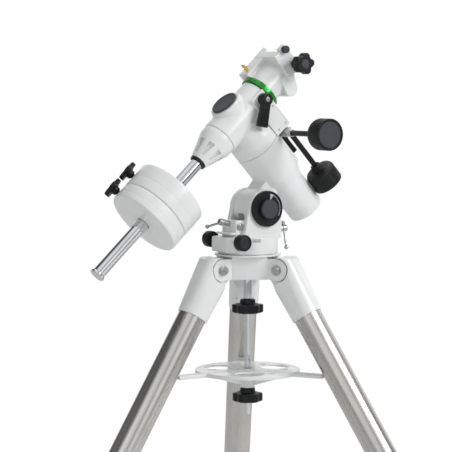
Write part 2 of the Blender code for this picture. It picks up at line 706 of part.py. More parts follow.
def dec_circle():
    return ring("dec_circle", "green_anodised", DEC, 26.4, CIRCLE_R, DEC_TOP + 0.5,
                CIRCLE_TOP, 32)


def saddle():
    """The dovetail saddle: a round neck, a channel along the polar axis with a sloping
    fixed side, a column that carries the thumbscrew, and lugs."""
    body = turned("saddle", "white_paint", DEC, [
        (0, DEC_TOP + 0.6), (26, DEC_TOP + 0.6), (26, CHANNEL_LOW + 2), (0, CHANNEL_LOW + 2)],
        28)
    profile = [(-30, CHANNEL_LOW), (30, CHANNEL_LOW), (30, WALL_TOP - 1), (29, WALL_TOP),
               (21.8, WALL_TOP), (21.8, SEAT_Z), (-12.6, SEAT_Z), (-12.6, SEAT_Z + 5),
               (-28, 130), (-30, 129)]
    tongue = [(0, 89)] + arc(LUG_Y, LUG_Z, LUG_R, -70, 48, 8)
    tongue += [(8.2, SEAT_Z - 0.7), (0, SEAT_Z - 0.7)]
    unite(body, prism("channel", None, DEC @ turn(90, "X"), profile, *CHANNEL_ENDS),
          block("column", None, DEC, (-29.6, -5), (-35.6, -22), (CIRCLE_TOP + 0.6, CHANNEL_LOW + 1)),
          block("lock_lug", None, DEC, (21, 29.8), (-40, -27), (118.5, WALL_TOP - 0.7), 1.5),
          prism("tongue", None, DEC @ turn(90, "Z") @ turn(90, "X"), tongue, -12, 27.5, 1.5))
    cutters = [
        rod("shaft_hole", None, DEC, DEC_SHAFT_R + GAP, 40, 84, 16),
        rod("knob_thread", None, saddle_screw_frame(*STAR_KNOB), 4.3, 15, 40, 10),
        rod("lock_thread", None, saddle_screw_frame(*LOCK_SCREW), 3.3, 15, 40, 8),
        rod("column_thread", None, thumb_frame(), 2.3, -12, 20, 8),
    ]
    return cut(body, *cutters)


def saddle_screw_frame(y, z):
    return DEC @ move(y=y, z=z) @ ALONG_X


def thumb_frame():
    """On the column's outer face, with z pointing up the polar axis."""
    return DEC @ move(x=-12, y=-36, z=72.5) @ turn(90, "X")


def saddle_knob():
    """The star knob whose screw presses the dovetail bar into the channel."""
    frame = saddle_screw_frame(*STAR_KNOB)
    screw = turned("saddle_knob", "black_plastic", frame, [
        (0, 23), (4, 23), (4, 30 + GAP), (7.5, 30 + GAP), (7, 48), (0, 48)], 10)
    return unite(screw, prism("star", None, frame, lobes(17.4, 3.6, 5, 4), 47, 61, 1.0))


def saddle_lock_screw():
    return turned("saddle_lock_screw", "grey_cap", saddle_screw_frame(*LOCK_SCREW), [
        (0, 23), (3, 23), (3, 30 + GAP), (6, 30 + GAP), (6, 37), (5.3, 38), (0, 38)], 10)


def thumbscrew():
    screw = turned("pointer_screw", "brass", thumb_frame(), [
        (0, -7), (2, -7), (2, 4), (3.6, 4), (3.6, 6), (2, 6), (2, 11), (0, 11)], 8)
    return unite(screw, block("wing", None, thumb_frame(), (-5.5, 5.5), (-1.3, 1.3), (7, 13)))


def bar_adapter():
    """The cone that holds the counterweight bar, with tapering recesses around it."""
    top = DEC_LOW - GAP
    end_r, shoulder_r = 15.0, 28.5
    cone = turned("bar_adapter", "white_paint", DEC, [
        (BAR_R + GAP, ADAPTER_END), (end_r - 0.5, ADAPTER_END), (end_r, ADAPTER_END + 2),
        (shoulder_r, ADAPTER_SHOULDER), (shoulder_r, top), (BAR_R + GAP, top)], 28,
        closed=True)
    slope = math.degrees(math.atan2(shoulder_r - end_r, ADAPTER_SHOULDER - ADAPTER_END - 2))
    outline = [(-5.5, -12), (5.5, -12), (0.8, -36), (-0.8, -36)]
    recesses = []
    for i in range(8):
        facet = (DEC @ turn(45 * i + 12, "Z") @ move(y=-shoulder_r, z=ADAPTER_SHOULDER)
                 @ turn(90 + slope, "X"))
        recesses.append(prism("recess", None, facet, outline, -4.2, 8))
    return cut(cone, *recesses)


def bar_lock_ring():
    return ring("bar_lock_ring", "black_plastic", DEC, BAR_R + GAP, 13.4,
                ADAPTER_END - GAP - 3.4, ADAPTER_END - GAP, 20)


def weight_bar():
    bar = rod("weight_bar", "chrome", DEC, BAR_R, BAR_END, DEC_LOW - 3, 20, chamfer=0.8)
    return cut(bar, rod("thread", None, DEC, 4.0, BAR_END - 5, BAR_END + 15, 10))


def toe_stop():
    return turned("toe_stop", "chrome", DEC, [
        (0, BAR_END - 4.5), (11.5, BAR_END - 4.5), (12, BAR_END - 4), (12, BAR_END - GAP),
        (3.7, BAR_END - GAP), (3.7, BAR_END + 12), (0, BAR_END + 12)], 16)


def weight_knob_frame(name):
    low, high = WEIGHT_FACES[name]
    return (DEC @ move(z=(low + high) / 2) @ turn(-WEIGHT_KNOB_TURN[name], "Z")
            @ turn(90, "X"))


def weight(name):
    low, high = WEIGHT_FACES[name]
    edge = 3.0
    disc = turned(f"weight_{name}", "white_paint", DEC, [
        (BAR_R + 0.4, low), (WEIGHT_R - edge, low), (WEIGHT_R, low + edge),
        (WEIGHT_R, high - edge), (WEIGHT_R - edge, high), (BAR_R + 0.4, high)], 36,
        closed=True)
    return cut(disc, rod("thread", None, weight_knob_frame(name), 4.3, 5, 70, 10))


def weight_knob(name):
    """The star knob that clamps a weight to the bar."""
    frame = weight_knob_frame(name)
    screw = turned(f"weight_knob_{name}", "black_plastic", frame, [
        (0, BAR_R + 0.6), (4, BAR_R + 0.6), (4, 62), (6.5, 62.5), (7.5, 70), (0, 70)], 10)
    return unite(screw, prism("star", None, frame, lobes(17.2, 3.2, 5, 4), 69, 76, 0.8))


# ---------------------------------------------------------------- assembly

def build_tripod():
    tripod_head()
    for key in LEG_TURNS:
        leg_bolt(key)
        frame = leg_frame(key)
        hold(f"leg_{key}_pivot", frame, leg_casting(key), leg_tube(key), leg_clamp(key),
             clamp_screw(key), lower_leg(key))
    hold("shaft_axis", HUB, centre_rod(), star_knob("mount_lock_knob", HUB, -44 - GAP, 25))
    hold("tray_axis", HUB, tray(), star_knob("tray_lock_knob", HUB, TRAY_Z - 29 - GAP, 24))


def build_base():
    hold("azimuth_axis", HUB, azimuth_base(), azimuth_knob(1, 1), azimuth_knob(2, -1),
         altitude_bolt(), *latitude_screws())


def build_polar():
    worm_axis = RA @ move(y=RA_WORM_OFF, z=-RA_WORM_DOWN) @ ALONG_X
    clutch = RA @ move(x=1, z=-84) @ turn(-90, "X") @ turn(180, "Z")
    hold("altitude_axis", ALTITUDE, ra_housing(), latitude_dial(), polar_cover())
    hold("ra_worm_axis", worm_axis,
         worm("ra_worm", worm_axis, 3.4, RA_WORM_R, 12, -16, 30.5, 2.4),
         slow_rod("ra_slow_rod", worm_axis, 23, 52, 133, 6.0),
         slow_knob("ra_slow_knob", worm_axis, 115))
    hold("ra_clutch_axis", clutch,
         lever("ra_clutch_lever", clutch, 8, (RA_R + GAP, 48.3), (40.3, 48.3), 29, 7.5))
    hold("ra_axis", RA, ra_shaft(),
         wheel("ra_worm_wheel", RA, SHAFT_R + GAP, RA_WORM_OFF - RA_WORM_R - GAP,
               -RA_WORM_DOWN, 4.5))


def build_declination():
    worm_axis = DEC @ move(x=DEC_WORM_X, z=DEC_WORM_Z) @ turn(-90, "X")
    clutch = DEC @ move(y=-4, z=42) @ ALONG_X @ turn(126, "Z")
    hold("dec_head_axis", RA, dec_housing(), front_cap(), dec_worm_cover(), bar_adapter(),
         bar_lock_ring(), weight_bar(), toe_stop())
    hold("dec_axis", DEC, dec_shaft(),
         wheel("dec_worm_wheel", DEC, DEC_SHAFT_R + GAP, DEC_WORM_X - DEC_WORM_R - GAP,
               DEC_WORM_Z, 3.0),
         dec_circle(), saddle(), saddle_knob(), saddle_lock_screw(), thumbscrew())
    hold("dec_worm_axis", worm_axis,
         worm("dec_worm", worm_axis, 2.6, DEC_WORM_R, 9, -12, 70.5, 2.4),
         slow_rod("dec_slow_rod", worm_axis, 63, 74, 164, 3.4),
         slow_knob("dec_slow_knob", worm_axis, 149.5))
    hold("dec_clutch_axis", clutch,
         lever("dec_clutch_lever", clutch, 9.8, (31.2 + GAP, 47), (38, 46), 44, 9.3))
    for name in WEIGHT_FACES:
        hold(f"weight_{name}_axis", DEC, weight(name), weight_knob(name))


def clear_scene():
    for obj in list(bpy.data.objects):
        bpy.data.objects.remove(obj)


clear_scene()
build_tripod()
build_base()
build_polar()
build_declination()
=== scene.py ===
"""The looks of a German equatorial mount: fine meshes and procedural finishes.

Lengths are millimetres and angles degrees until a mesh is made. Each fine piece stands
for one of the frame's nodes, or adds a detail to it, and rides on that node's body. The
local frames are the design's own:
  hub   on the azimuth axis, z = 0 near the tripod head's lower face
  leg   origin on a leg's pivot, x along the pivot, z up along the leg
  ra    origin where the polar and declination axes cross, z up the polar axis
  dec   same origin, z along the declination axis towards the saddle, y down the polar axis
"""

import json
import math

import bmesh
import bpy
from mathutils import Matrix, Vector

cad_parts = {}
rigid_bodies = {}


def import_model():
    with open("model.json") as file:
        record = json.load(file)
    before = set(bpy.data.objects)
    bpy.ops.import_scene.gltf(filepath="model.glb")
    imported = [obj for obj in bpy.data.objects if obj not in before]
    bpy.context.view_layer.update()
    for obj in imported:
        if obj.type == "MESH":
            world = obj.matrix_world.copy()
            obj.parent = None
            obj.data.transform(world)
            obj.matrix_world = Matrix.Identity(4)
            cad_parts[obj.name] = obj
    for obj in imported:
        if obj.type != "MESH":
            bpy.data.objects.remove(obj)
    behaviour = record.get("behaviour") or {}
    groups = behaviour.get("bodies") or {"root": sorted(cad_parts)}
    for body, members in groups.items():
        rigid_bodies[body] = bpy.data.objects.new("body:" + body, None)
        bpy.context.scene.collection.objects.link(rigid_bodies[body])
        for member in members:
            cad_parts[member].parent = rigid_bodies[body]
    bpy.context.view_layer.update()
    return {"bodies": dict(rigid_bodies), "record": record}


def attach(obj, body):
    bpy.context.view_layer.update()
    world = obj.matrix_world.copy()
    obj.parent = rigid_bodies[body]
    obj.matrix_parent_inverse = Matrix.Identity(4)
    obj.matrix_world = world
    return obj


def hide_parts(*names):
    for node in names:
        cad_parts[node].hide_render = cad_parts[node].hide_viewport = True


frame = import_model()

MM = 0.001
GAP = 0.3
SIDES = 96
SHARP_ANGLE = 38.0
BEVEL_ANGLE = 35.0
BLUNT_ANGLE = 160.0

# Tripod
AXIS_Y = 111.4
HUB_HEIGHT = 620.0
LEG_SPLAY = 31.4
SOLE_HALF = 21.6
LEG_TURNS = {"1": 0.0, "2": 120.0, "3": 240.0}
PIVOT_RADIUS = 61.0
PIVOT_RISE = 5.5
PIVOT_HOLE_R = 4.3
TUBE_R = 22.25
TUBE_WALL = 1.6
LOWER_R = 15.9
TUBE_TOP = -37.0
TUBE_END = -646.4
LOWER_WALL = 1.4
SLEEVE_HALF = 24.0
SLEEVE_END = -84.4
EAR_R = 17.5
EAR_FACE = 22.0
EAR_WALL = 5.2
HUB_R = 27.8
PANEL_OUT = 41.6
PANEL_HALF = 28.0
CLEVIS_DEPTH = 33.0
HUB_LOW = -10.5
HEAD_PLATE_R = 53.0
HEAD_PLATE_LOW = 26.0
HEAD_TOP = 29.0
ROD_R = 5.0
TRAY_Z = -158.0
TRAY_REACH = 133.6

# Base and altitude fork
BASE_R = 48.0
BASE_TOP = 57.0
PEG_Y = -40.5
AZIMUTH_SCREW_Z = 50.0
SCREW_HOLE_R = 4.4
CHEEK_IN = 19.5
CHEEK_OUT = 29.0
CHEEK_R = 31.0
PIVOT_Y = 15.2
PIVOT_Z = 100.8
NORTH_TIP_Z = 67.8
NORTH_TILT = 12.9
SOUTH_SCREW_Z = 66.0
DIAL_R = 28.5
DIAL_ZERO = 62.0
DIAL_STEP = 2.5
DIAL_TICKS = 37
DIAL_INDEX = 160.0
BALL_R = 3.4

# Polar axis; DOWN values count from the crossing down the axis
LATITUDE = 47.4
CROSS_Y = -21.3
CROSS_Z = 242.4
RA_R = 39.0
SEAM_DOWN = 57.7
RA_END_DOWN = 119.0
BAND_END_DOWN = 131.0
PIVOT_DOWN = 129.0
PIVOT_BELOW = 69.0
COVER_R = 29.2
COVER_END_DOWN = 200.0
SHAFT_R = 13.8
RA_WORM_DOWN = 65.0
RA_WORM_OFF = 38.0
RA_WORM_R = 4.5
KNOB_R = 25.5
SHANK_R = 2.4

# Declination axis; heights count from the crossing towards the saddle
DEC_R = 29.5
DEC_LOW = -44.0
DEC_TOP = 54.0
DEC_SHAFT_R = 9.0
DEC_WORM_X = 26.1
DEC_WORM_Z = 47.5
DEC_WORM_R = 3.5
DEC_ROOM_LOW = 43.9
DEC_ROOM_HALF = 3.8
DEC_PAD_X = 31.2
CIRCLE_R = 32.0
CIRCLE_TOP = 63.5
CIRCLE_HOLES = (-62, -17, 28, 73, 118, 163, 208, 253)
ADAPTER_END = -97.0
ADAPTER_SHOULDER = -56.3
BAR_R = 10.0
BAR_END = -342.0
WEIGHT_R = 60.0
WEIGHT_FACES = {"rear": (-207.0, -164.0), "front": (-234.0, -207.4)}
WEIGHT_KNOB_TURN = {"rear": 31.0, "front": 33.0}
GROOVE_AT = 0.42
GROOVE_HALF = 0.5
GROOVE_DEEP = 0.35
CHANNEL_LOW = 104.0
SEAT_Z = 119.0
WALL_TOP = 133.0
STAR_KNOB = (-3.0, 125.5)
LOCK_SCREW = (-33.5, 126.0)
CHANNEL_ENDS = (-9.0, 36.0)
LUG_Y = 22.0
LUG_Z = 96.0
LUG_R = 13.5

# Camera, from the azimuth axis at the hub's height
VIEW_AZIMUTH = 56.8
VIEW_ELEVATION = 4.4
VIEW_DISTANCE = 3109.0
VIEW_SHIFT = (34.6, -71.8)
LENS = 155.15

# Studio, in metres; SCREENS are (place, brightness) across what reflections see
FLOOR_R = 60.0
FADE_START = 0.6
FADE_END = 1.6
SCREENS = ((0.0, 0.35), (0.13, 0.1), (0.22, 0.12), (0.3, 0.95), (0.52, 1.0), (0.6, 0.42),
           (0.66, 0.5), (0.74, 1.1), (0.86, 1.0), (0.92, 0.16), (1.0, 0.5))


# ---- frames

def move(x=0.0, y=0.0, z=0.0):
    return Matrix.Translation(Vector((x, y, z)) * MM)


def turn(angle, axis):
    return Matrix.Rotation(math.radians(angle), 4, axis)


HUB = move(y=AXIS_Y, z=HUB_HEIGHT)
ALTITUDE = HUB @ move(y=PIVOT_Y, z=PIVOT_Z)
CROSSING = HUB @ move(y=CROSS_Y, z=CROSS_Z)
RA = CROSSING @ turn(90.0 - LATITUDE, "X")
DEC = CROSSING @ turn(-LATITUDE, "X")
ALONG_X = turn(90.0, "Y")
SIDE_VIEW = turn(90.0, "Z") @ turn(90.0, "X")


def pivot_frame(key):
    return HUB @ turn(LEG_TURNS[key], "Z") @ move(y=-PIVOT_RADIUS, z=PIVOT_RISE)


def leg_frame(key):
    return pivot_frame(key) @ turn(-LEG_SPLAY, "X")


def north_screw_frame():
    return (HUB @ move(y=4.8, z=NORTH_TIP_Z) @ turn(90 - NORTH_TILT, "X")
            @ turn(104, "Z"))


def saddle_screw_frame(y, z):
    return DEC @ move(y=y, z=z) @ ALONG_X


def thumb_frame():
    return DEC @ move(x=-12, y=-36, z=72.5) @ turn(90, "X")


def weight_knob_frame(name):
    low, high = WEIGHT_FACES[name]
    return (DEC @ move(z=(low + high) / 2) @ turn(-WEIGHT_KNOB_TURN[name], "Z")
            @ turn(90, "X"))


# ---- finishes

class Nodes:
    """Short calls for the nodes of one material or world."""

    def __init__(self, tree):
        self.tree = tree
        self.tree.nodes.clear()

    def add(self, kind, inputs=None, **settings):
        node = self.tree.nodes.new("ShaderNode" + kind)
        for key, value in settings.items():
            setattr(node, key, value)
        self.fill(node, inputs or {})
        return node

    def fill(self, node, inputs):
        for key, value in inputs.items():
            if isinstance(value, bpy.types.NodeSocket):
                self.tree.links.new(value, node.inputs[key])
            else:
                node.inputs[key].default_value = value

    def noise(self, scale, detail=4.0, stretch=(1.0, 1.0, 1.0)):
        """Noise over the piece's own coordinates, in metres."""
        place = self.add("TexCoord").outputs["Object"]
        mapping = self.add("Mapping", {"Vector": place, "Scale": stretch})
        node = self.add("TexNoise", {"Vector": mapping.outputs["Vector"],
                                               "Scale": scale, "Detail": detail})
        return node.outputs["Fac"]

    def span(self, value, low, high, start=0.3, end=0.7):
        node = self.add("MapRange", {"Value": value, "From Min": start,
                                               "From Max": end, "To Min": low, "To Max": high})
        return node.outputs["Result"]

    def blend(self, factor, first, second):
        node = self.add("Mix", data_type="RGBA")
        self.fill(node, {0: factor, 6: first, 7: second})
        return node.outputs[2]


def tone(colour, share):
    return (*[min(1.0, channel * share) for channel in colour], 1.0)


FINISHES = {
    "white_paint": dict(colour=(0.83, 0.84, 0.845), roughness=(0.26, 0.36), coat=0.35,
                        grain=900.0, depth=0.035, patches=0.035, wear=1.03),
    "black_plastic": dict(colour=(0.006, 0.0065, 0.0075), roughness=(0.32, 0.46),
                          specular=0.28, grain=2400.0, depth=0.12, patches=0.25, wear=3.0),
    "dark_cap": dict(colour=(0.018, 0.02, 0.023), roughness=(0.36, 0.5),
                     specular=0.3, grain=2600.0, depth=0.12, patches=0.15, wear=1.8),
    "grey_cap": dict(colour=(0.05, 0.056, 0.065), roughness=(0.42, 0.55),
                     specular=0.3, grain=2600.0, depth=0.14, patches=0.1, wear=1.6),
    "dial_print": dict(colour=(0.72, 0.74, 0.76), roughness=(0.45, 0.6),
                       grain=3000.0, depth=0.05, patches=0.08, wear=1.0),
    "label_grey": dict(colour=(0.5, 0.51, 0.53), roughness=(0.3, 0.4),
                       grain=1200.0, depth=0.05, patches=0.06, wear=1.1),
    "stainless": dict(colour=(0.56, 0.553, 0.535), roughness=(0.2, 0.32), metallic=1.0,
                      grain=900.0, stretch=(1.0, 1.0, 0.012), depth=0.05, patches=0.05,
                      wear=1.0),
    "chrome": dict(colour=(0.66, 0.67, 0.69), roughness=(0.06, 0.12), metallic=1.0,
                   grain=400.0, stretch=(1.0, 1.0, 0.03), depth=0.003, patches=0.04, wear=1.0),
    "steel": dict(colour=(0.5, 0.5, 0.5), roughness=(0.2, 0.36), metallic=1.0,
                  grain=1500.0, stretch=(0.1, 0.1, 1.0), depth=0.06, patches=0.1, wear=1.3),
    "green_anodised": dict(colour=(0.02, 0.3, 0.035), roughness=(0.2, 0.3), metallic=0.75,
                           coat=0.3, grain=1500.0, stretch=(0.05, 0.05, 1.0), depth=0.04,
                           patches=0.06, wear=1.3),
    "brass": dict(colour=(0.82, 0.6, 0.17), roughness=(0.18, 0.32), metallic=1.0,
                  grain=1500.0, depth=0.06, patches=0.1, wear=1.2),
    "bronze": dict(colour=(0.62, 0.42, 0.2), roughness=(0.28, 0.42), metallic=1.0,
                   grain=1500.0, depth=0.06, patches=0.1, wear=1.2),
    "rubber": dict(colour=(0.02, 0.02, 0.02), roughness=(0.7, 0.85),
                   grain=1800.0, depth=0.3, patches=0.2, wear=2.0),
}
WORN_FROM = 0.53
WORN_FULL = 0.6


def finish_material(name):
    """Grain bump, roughness spread, soft patches of tone and lighter worn edges."""
    found = bpy.data.materials.get("finish_" + name)
    if found:
        return found
    look = FINISHES[name]
    made = bpy.data.materials.new("finish_" + name)
    made.use_nodes = True
    net = Nodes(made.node_tree)
    grain = net.noise(look["grain"], 5.0, look.get("stretch", (1.0, 1.0, 1.0)))
    patch = net.noise(22.0, 3.0)
    edge = net.add("NewGeometry").outputs["Pointiness"]
    colour = look["colour"]
    base = net.blend(net.span(patch, 0.0, 1.0), tone(colour, 1.0 - look["patches"]),
                     tone(colour, 1.0 + look["patches"]))
    worn = net.span(edge, 0.0, 0.8, WORN_FROM, WORN_FULL)
    base = net.blend(worn, base, tone(colour, look["wear"]))
    low, high = look["roughness"]
    bump = net.add("Bump", {"Height": grain, "Strength": look["depth"],
                                      "Distance": 0.0004})
    surface = net.add("BsdfPrincipled", {
        "Base Color": base, "Roughness": net.span(grain, low, high),
        "Metallic": look.get("metallic", 0.0), "Coat Weight": look.get("coat", 0.0),
        "Specular IOR Level": look.get("specular", 0.5),
        "Coat Roughness": 0.12, "Normal": bump.outputs["Normal"]})
    net.add("OutputMaterial", {"Surface": surface.outputs["BSDF"]})
    return made


# ---- solids

BODY_OF = {node: body for body, nodes in frame["record"]["behaviour"]["bodies"].items()
           for node in nodes}


def dress(obj, finish_name, node, stands_for=True):
    """Gives a piece its finish and lets it ride, by default in its node's place."""
    obj.data.materials.clear()
    obj.data.materials.append(finish_material(finish_name))
    if "stretch" not in FINISHES[finish_name]:
        obj.data.transform(obj.matrix_world)
        obj.matrix_world = Matrix.Identity(4)
    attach(obj, BODY_OF[node])
    if stands_for:
        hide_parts(node)
    return obj


def add_detail(obj, finish_name, node):
    """Dresses a small piece that adds to the one standing for its node."""
    return dress(obj, finish_name, node, stands_for=False)


def shade(mesh):
    mesh.shade_smooth()
    mesh.set_sharp_from_angle(angle=math.radians(SHARP_ANGLE))


def add_object(name, data=None):
    obj = bpy.data.objects.new(name, data)
    bpy.context.scene.collection.objects.link(obj)
    return obj


def mesh_from(bm, name):
    mesh = bpy.data.meshes.new(name)
    bm.to_mesh(mesh)
    bm.free()
    return mesh


def finish(bm, name, place):
    """Makes a smooth-shaded object from a bmesh in local millimetres."""
    bmesh.ops.remove_doubles(bm, verts=bm.verts, dist=1e-4)
    bmesh.ops.recalc_face_normals(bm, faces=bm.faces)
    bmesh.ops.scale(bm, vec=(MM, MM, MM), verts=bm.verts)
    mesh = mesh_from(bm, name)
    shade(mesh)
    obj = add_object(name, mesh)
    obj.matrix_world = place
    return obj


def soften(points, radius, closed=False, steps=4):
    """Rounds the corners of a line of (x, y) points."""
    rounded = []
    count = len(points)
    for i, point in enumerate(points):
        here = Vector(point)
        back = Vector(points[i - 1]) - here
        ahead = Vector(points[(i + 1) % count]) - here
        at_end = not closed and i in (0, count - 1)
        plain = at_end or min(back.length, ahead.length) < 1e-6 or radius == 0
        if plain or back.angle(ahead) > math.radians(BLUNT_ANGLE):
            rounded.append(tuple(point))
            continue
        angle = back.angle(ahead)
        reach = min(radius / math.tan(angle / 2), back.length * 0.45, ahead.length * 0.45)
        start = here + back.normalized() * reach
        end = here + ahead.normalized() * reach
        for k in range(steps + 1):
            t = k / steps
            rounded.append(tuple(start * (1 - t) ** 2 + here * 2 * t * (1 - t) + end * t * t))
    return rounded


def turned(name, place, profile, radius=0.5, sides=SIDES, closed=False, ripple=None):
    """Spins (radius, height) points about local z; ripple(r, z, a) is taken off r."""
    bm = bmesh.new()
    rings = []
    for r, z in soften(profile, radius, closed):
        if r < 1e-6:
            rings.append([bm.verts.new((0.0, 0.0, z))] * sides)
            continue
        loop = []
        for i in range(sides):
            a = math.tau * i / sides
            reach = r - (ripple(r, z, a) if ripple else 0.0)
            loop.append(bm.verts.new((reach * math.cos(a), reach * math.sin(a), z)))
        rings.append(loop)
    pairs = list(zip(rings, rings[1:]))
    if closed:
        pairs.append((rings[-1], rings[0]))
    for low, high in pairs:
        for i in range(sides):
            corners = list(dict.fromkeys((low[i - 1], low[i], high[i], high[i - 1])))
            if len(corners) > 2:
                bm.faces.new(corners)
    return finish(bm, name, place)


def rod(name, place, r, low, high, radius=0.5, sides=48):
    return turned(name, place, [(0, low), (r, low), (r, high), (0, high)], radius, sides)


def tube(name, place, inner, outer, low, high, radius=0.4, sides=SIDES):
    profile = [(inner, low), (outer, low), (outer, high), (inner, high)]
    return turned(name, place, profile, radius, sides, closed=True)


def prism(name, place, outline, low, high, rounding=0.0, corner=0.0):
    """Extrudes (x, y) points along local z, then rounds its sharp edges."""
    bm = bmesh.new()
    outline = soften(outline, corner, closed=True)
    face = bm.faces.new([bm.verts.new((x, y, low)) for x, y in outline])
    made = bmesh.ops.extrude_face_region(bm, geom=[face])
    top = [v for v in made["geom"] if isinstance(v, bmesh.types.BMVert)]
    bmesh.ops.translate(bm, verts=top, vec=(0, 0, high - low))
    bmesh.ops.recalc_face_normals(bm, faces=bm.faces)
    if rounding:
        sharp = [e for e in bm.edges if e.calc_face_angle(0.0) > math.radians(BEVEL_ANGLE)]
        bmesh.ops.bevel(bm, geom=sharp, offset=rounding, segments=3, profile=0.5,
                        affect="EDGES", clamp_overlap=True)
    return finish(bm, name, place)


def block(name, place, x, y, z, rounding=0.0):
    outline = [(x[0], y[0]), (x[1], y[0]), (x[1], y[1]), (x[0], y[1])]
    return prism(name, place, outline, z[0], z[1], rounding)


def hexagon(name, place, across_corners, low, high):
    """A hexagon head whose corners are turned off, as a prism inside a dome."""
    outline = arc(0, 0, across_corners, 0, 300, 5)
    head = prism(name, place, outline, low, high)
    crown = turned("crown", place, [(0, low - 1), (across_corners, low - 1),
                                    (across_corners, high - 1.2),
                                    (across_corners * 0.84, high), (0, high)], 0.3, 48)
    return combine(head, "INTERSECT", [crown])


def arc(cx, cy, radius, start, end, steps):
    points = []
    for i in range(steps + 1):
        a = math.radians(start + (end - start) * i / steps)
        points.append((cx + radius * math.cos(a), cy + radius * math.sin(a)))
    return points


def lobes(inside, radius, depth, count):
    """Hollows between a knob's lobes, beyond the radius inside, for turned()."""
    def ripple(r, z, a):
        share = max(0.0, min(1.0, (r - inside) / (radius - inside)))
        return depth * share * (0.5 - 0.5 * math.cos(count * a)) ** 1.5
    return ripple


def ribs(inside, low, high, depth, count):
    """Grooves along a knob's barrel between two heights, for turned()."""
    def ripple(r, z, a):
        if r < inside or z < low or z > high:
            return 0.0
        return depth * (0.5 - 0.5 * math.cos(count * a))
    return ripple


def thread(low, high, pitch, depth):
    """A screw thread between two heights, for turned()."""
    def ripple(r, z, a):
        if z < low or z > high:
            return 0.0
        return depth * (0.5 + 0.5 * math.cos(math.tau * z / pitch - a))
    return ripple


def evaluated_copy(obj):
    bpy.context.view_layer.update()
    graph = bpy.context.evaluated_depsgraph_get()
    return bpy.data.meshes.new_from_object(obj.evaluated_get(graph))


def combine(obj, operation, others):
    for other in others:
        step = obj.modifiers.new("step", "BOOLEAN")
        step.operation = operation
        step.solver = "EXACT"
        step.object = other
        mesh = evaluated_copy(obj)
        obj.modifiers.clear()
        obj.data = mesh
        bpy.data.objects.remove(other)
    bm = bmesh.new()
    bm.from_mesh(obj.data)
    bmesh.ops.remove_doubles(bm, verts=bm.verts, dist=2e-6)
    bmesh.ops.dissolve_degenerate(bm, dist=1e-6, edges=bm.edges)
    bm.to_mesh(obj.data)
    bm.free()
    shade(obj.data)
    return obj


def unite(obj, *others):
    return combine(obj, "UNION", others)


def cut(obj, *tools):
    """Takes the tools away in one step, after joining them into one."""
    if len(tools) > 1:
        unite(tools[0], *tools[1:])
    return combine(obj, "DIFFERENCE", tools[:1])


def cast(name, voxel, rounds, *pieces):
    """Melts overlapping solids into one casting with soft fillets where they meet."""
    bm = bmesh.new()
    for piece in pieces:
        mesh = piece.data
        mesh.transform(piece.matrix_world)
        bm.from_mesh(mesh)
        bpy.data.objects.remove(piece)
    obj = add_object(name, mesh_from(bm, name))
    melt = obj.modifiers.new("melt", "REMESH")
    melt.mode = "VOXEL"
    melt.voxel_size = voxel * MM
    ease = obj.modifiers.new("ease", "SMOOTH")
    ease.factor = 0.5
    ease.iterations = rounds
    obj.data = evaluated_copy(obj)
    obj.modifiers.clear()
    shade(obj.data)
    return obj


# ---- tripod

def ear(key, side):
    low_edge = HUB_LOW + 0.6
    outline = [(HUB_R - 8, low_edge), (PIVOT_RADIUS - 7, low_edge)]
    outline += arc(PIVOT_RADIUS, PIVOT_RISE, EAR_R, -90, 90, 32)
    outline += [(HUB_R - 8, PIVOT_RISE + EAR_R)]
    low = EAR_FACE - EAR_WALL - 0.2 if side > 0 else -EAR_FACE
    upright = HUB @ turn(LEG_TURNS[key], "Z") @ turn(-90, "Z") @ turn(90, "X")
    return prism("ear", upright, outline, low, low + EAR_WALL + 0.2, 0.9)


def panel(angle):
    """One of the head's flat sides, midway between two legs."""
    return block("panel", HUB @ turn(angle, "Z"), (-PANEL_HALF, PANEL_HALF),
                 (-PANEL_OUT, -5), (HUB_LOW + 0.3, HEAD_PLATE_LOW + 1), 0.9)


def clevis_room(key):
    wide = EAR_FACE - EAR_WALL
    return block("room", HUB @ turn(LEG_TURNS[key], "Z"), (-wide, wide),
                 (-90, -CLEVIS_DEPTH), (HUB_LOW - 5, HEAD_PLATE_LOW))


def tripod_head():
    head = turned("tripod_head_casting", HUB, [
        (0, HUB_LOW), (HUB_R, HUB_LOW), (HUB_R, HEAD_PLATE_LOW), (HEAD_PLATE_R, HEAD_PLATE_LOW),
        (HEAD_PLATE_R, HEAD_TOP), (0, HEAD_TOP)], 0.9, 144)
    unite(head, *[panel(angle + 60) for angle in LEG_TURNS.values()])
    unite(head, *[ear(key, side) for key in LEG_TURNS for side in (1, -1)])
    cut(head, *[clevis_room(key) for key in LEG_TURNS])
    unite(head, rod("peg", HUB @ move(y=PEG_Y), ROD_R, HEAD_TOP - 2, 55.5))
    bores = [rod("bore", HUB, ROD_R + 0.4, -30, 40)]
    for key in LEG_TURNS:
        bores.append(rod("hole", pivot_frame(key) @ ALONG_X, PIVOT_HOLE_R, -30, 30, 0))
    dress(cut(head, *bores), "white_paint", "tripod_head")


def leg_bolt(key):
    across = pivot_frame(key) @ ALONG_X
    face = EAR_FACE + GAP
    bolt = rod(f"leg_bolt_{key}_steel", across, 3.9, -face - 7.5, face + 1)
    unite(bolt, hexagon("head", across, 7.0, face + 1.2, face + 6.2),
          hexagon("nut", across @ turn(180, "X"), 7.0, face + 1.2, face + 6),
          *[tube("washer", across, 3.0, 8.4, low, low + 1.0, 0.3, 48)
            for low in (face, -face - 1.0)])
    dress(bolt, "steel", f"leg_bolt_{key}")


def rounded_box(x, y_low, y_high, radius, z):
    corners = ((x - radius, y_high - radius, 0), (radius - x, y_high - radius, 90),
               (radius - x, y_low + radius, 180), (x - radius, y_low + radius, 270))
    points = []
    for cx, cy, start in corners:
        points += [(px, py, z) for px, py in arc(cx, cy, radius, start, start + 90, 12)]
    return points


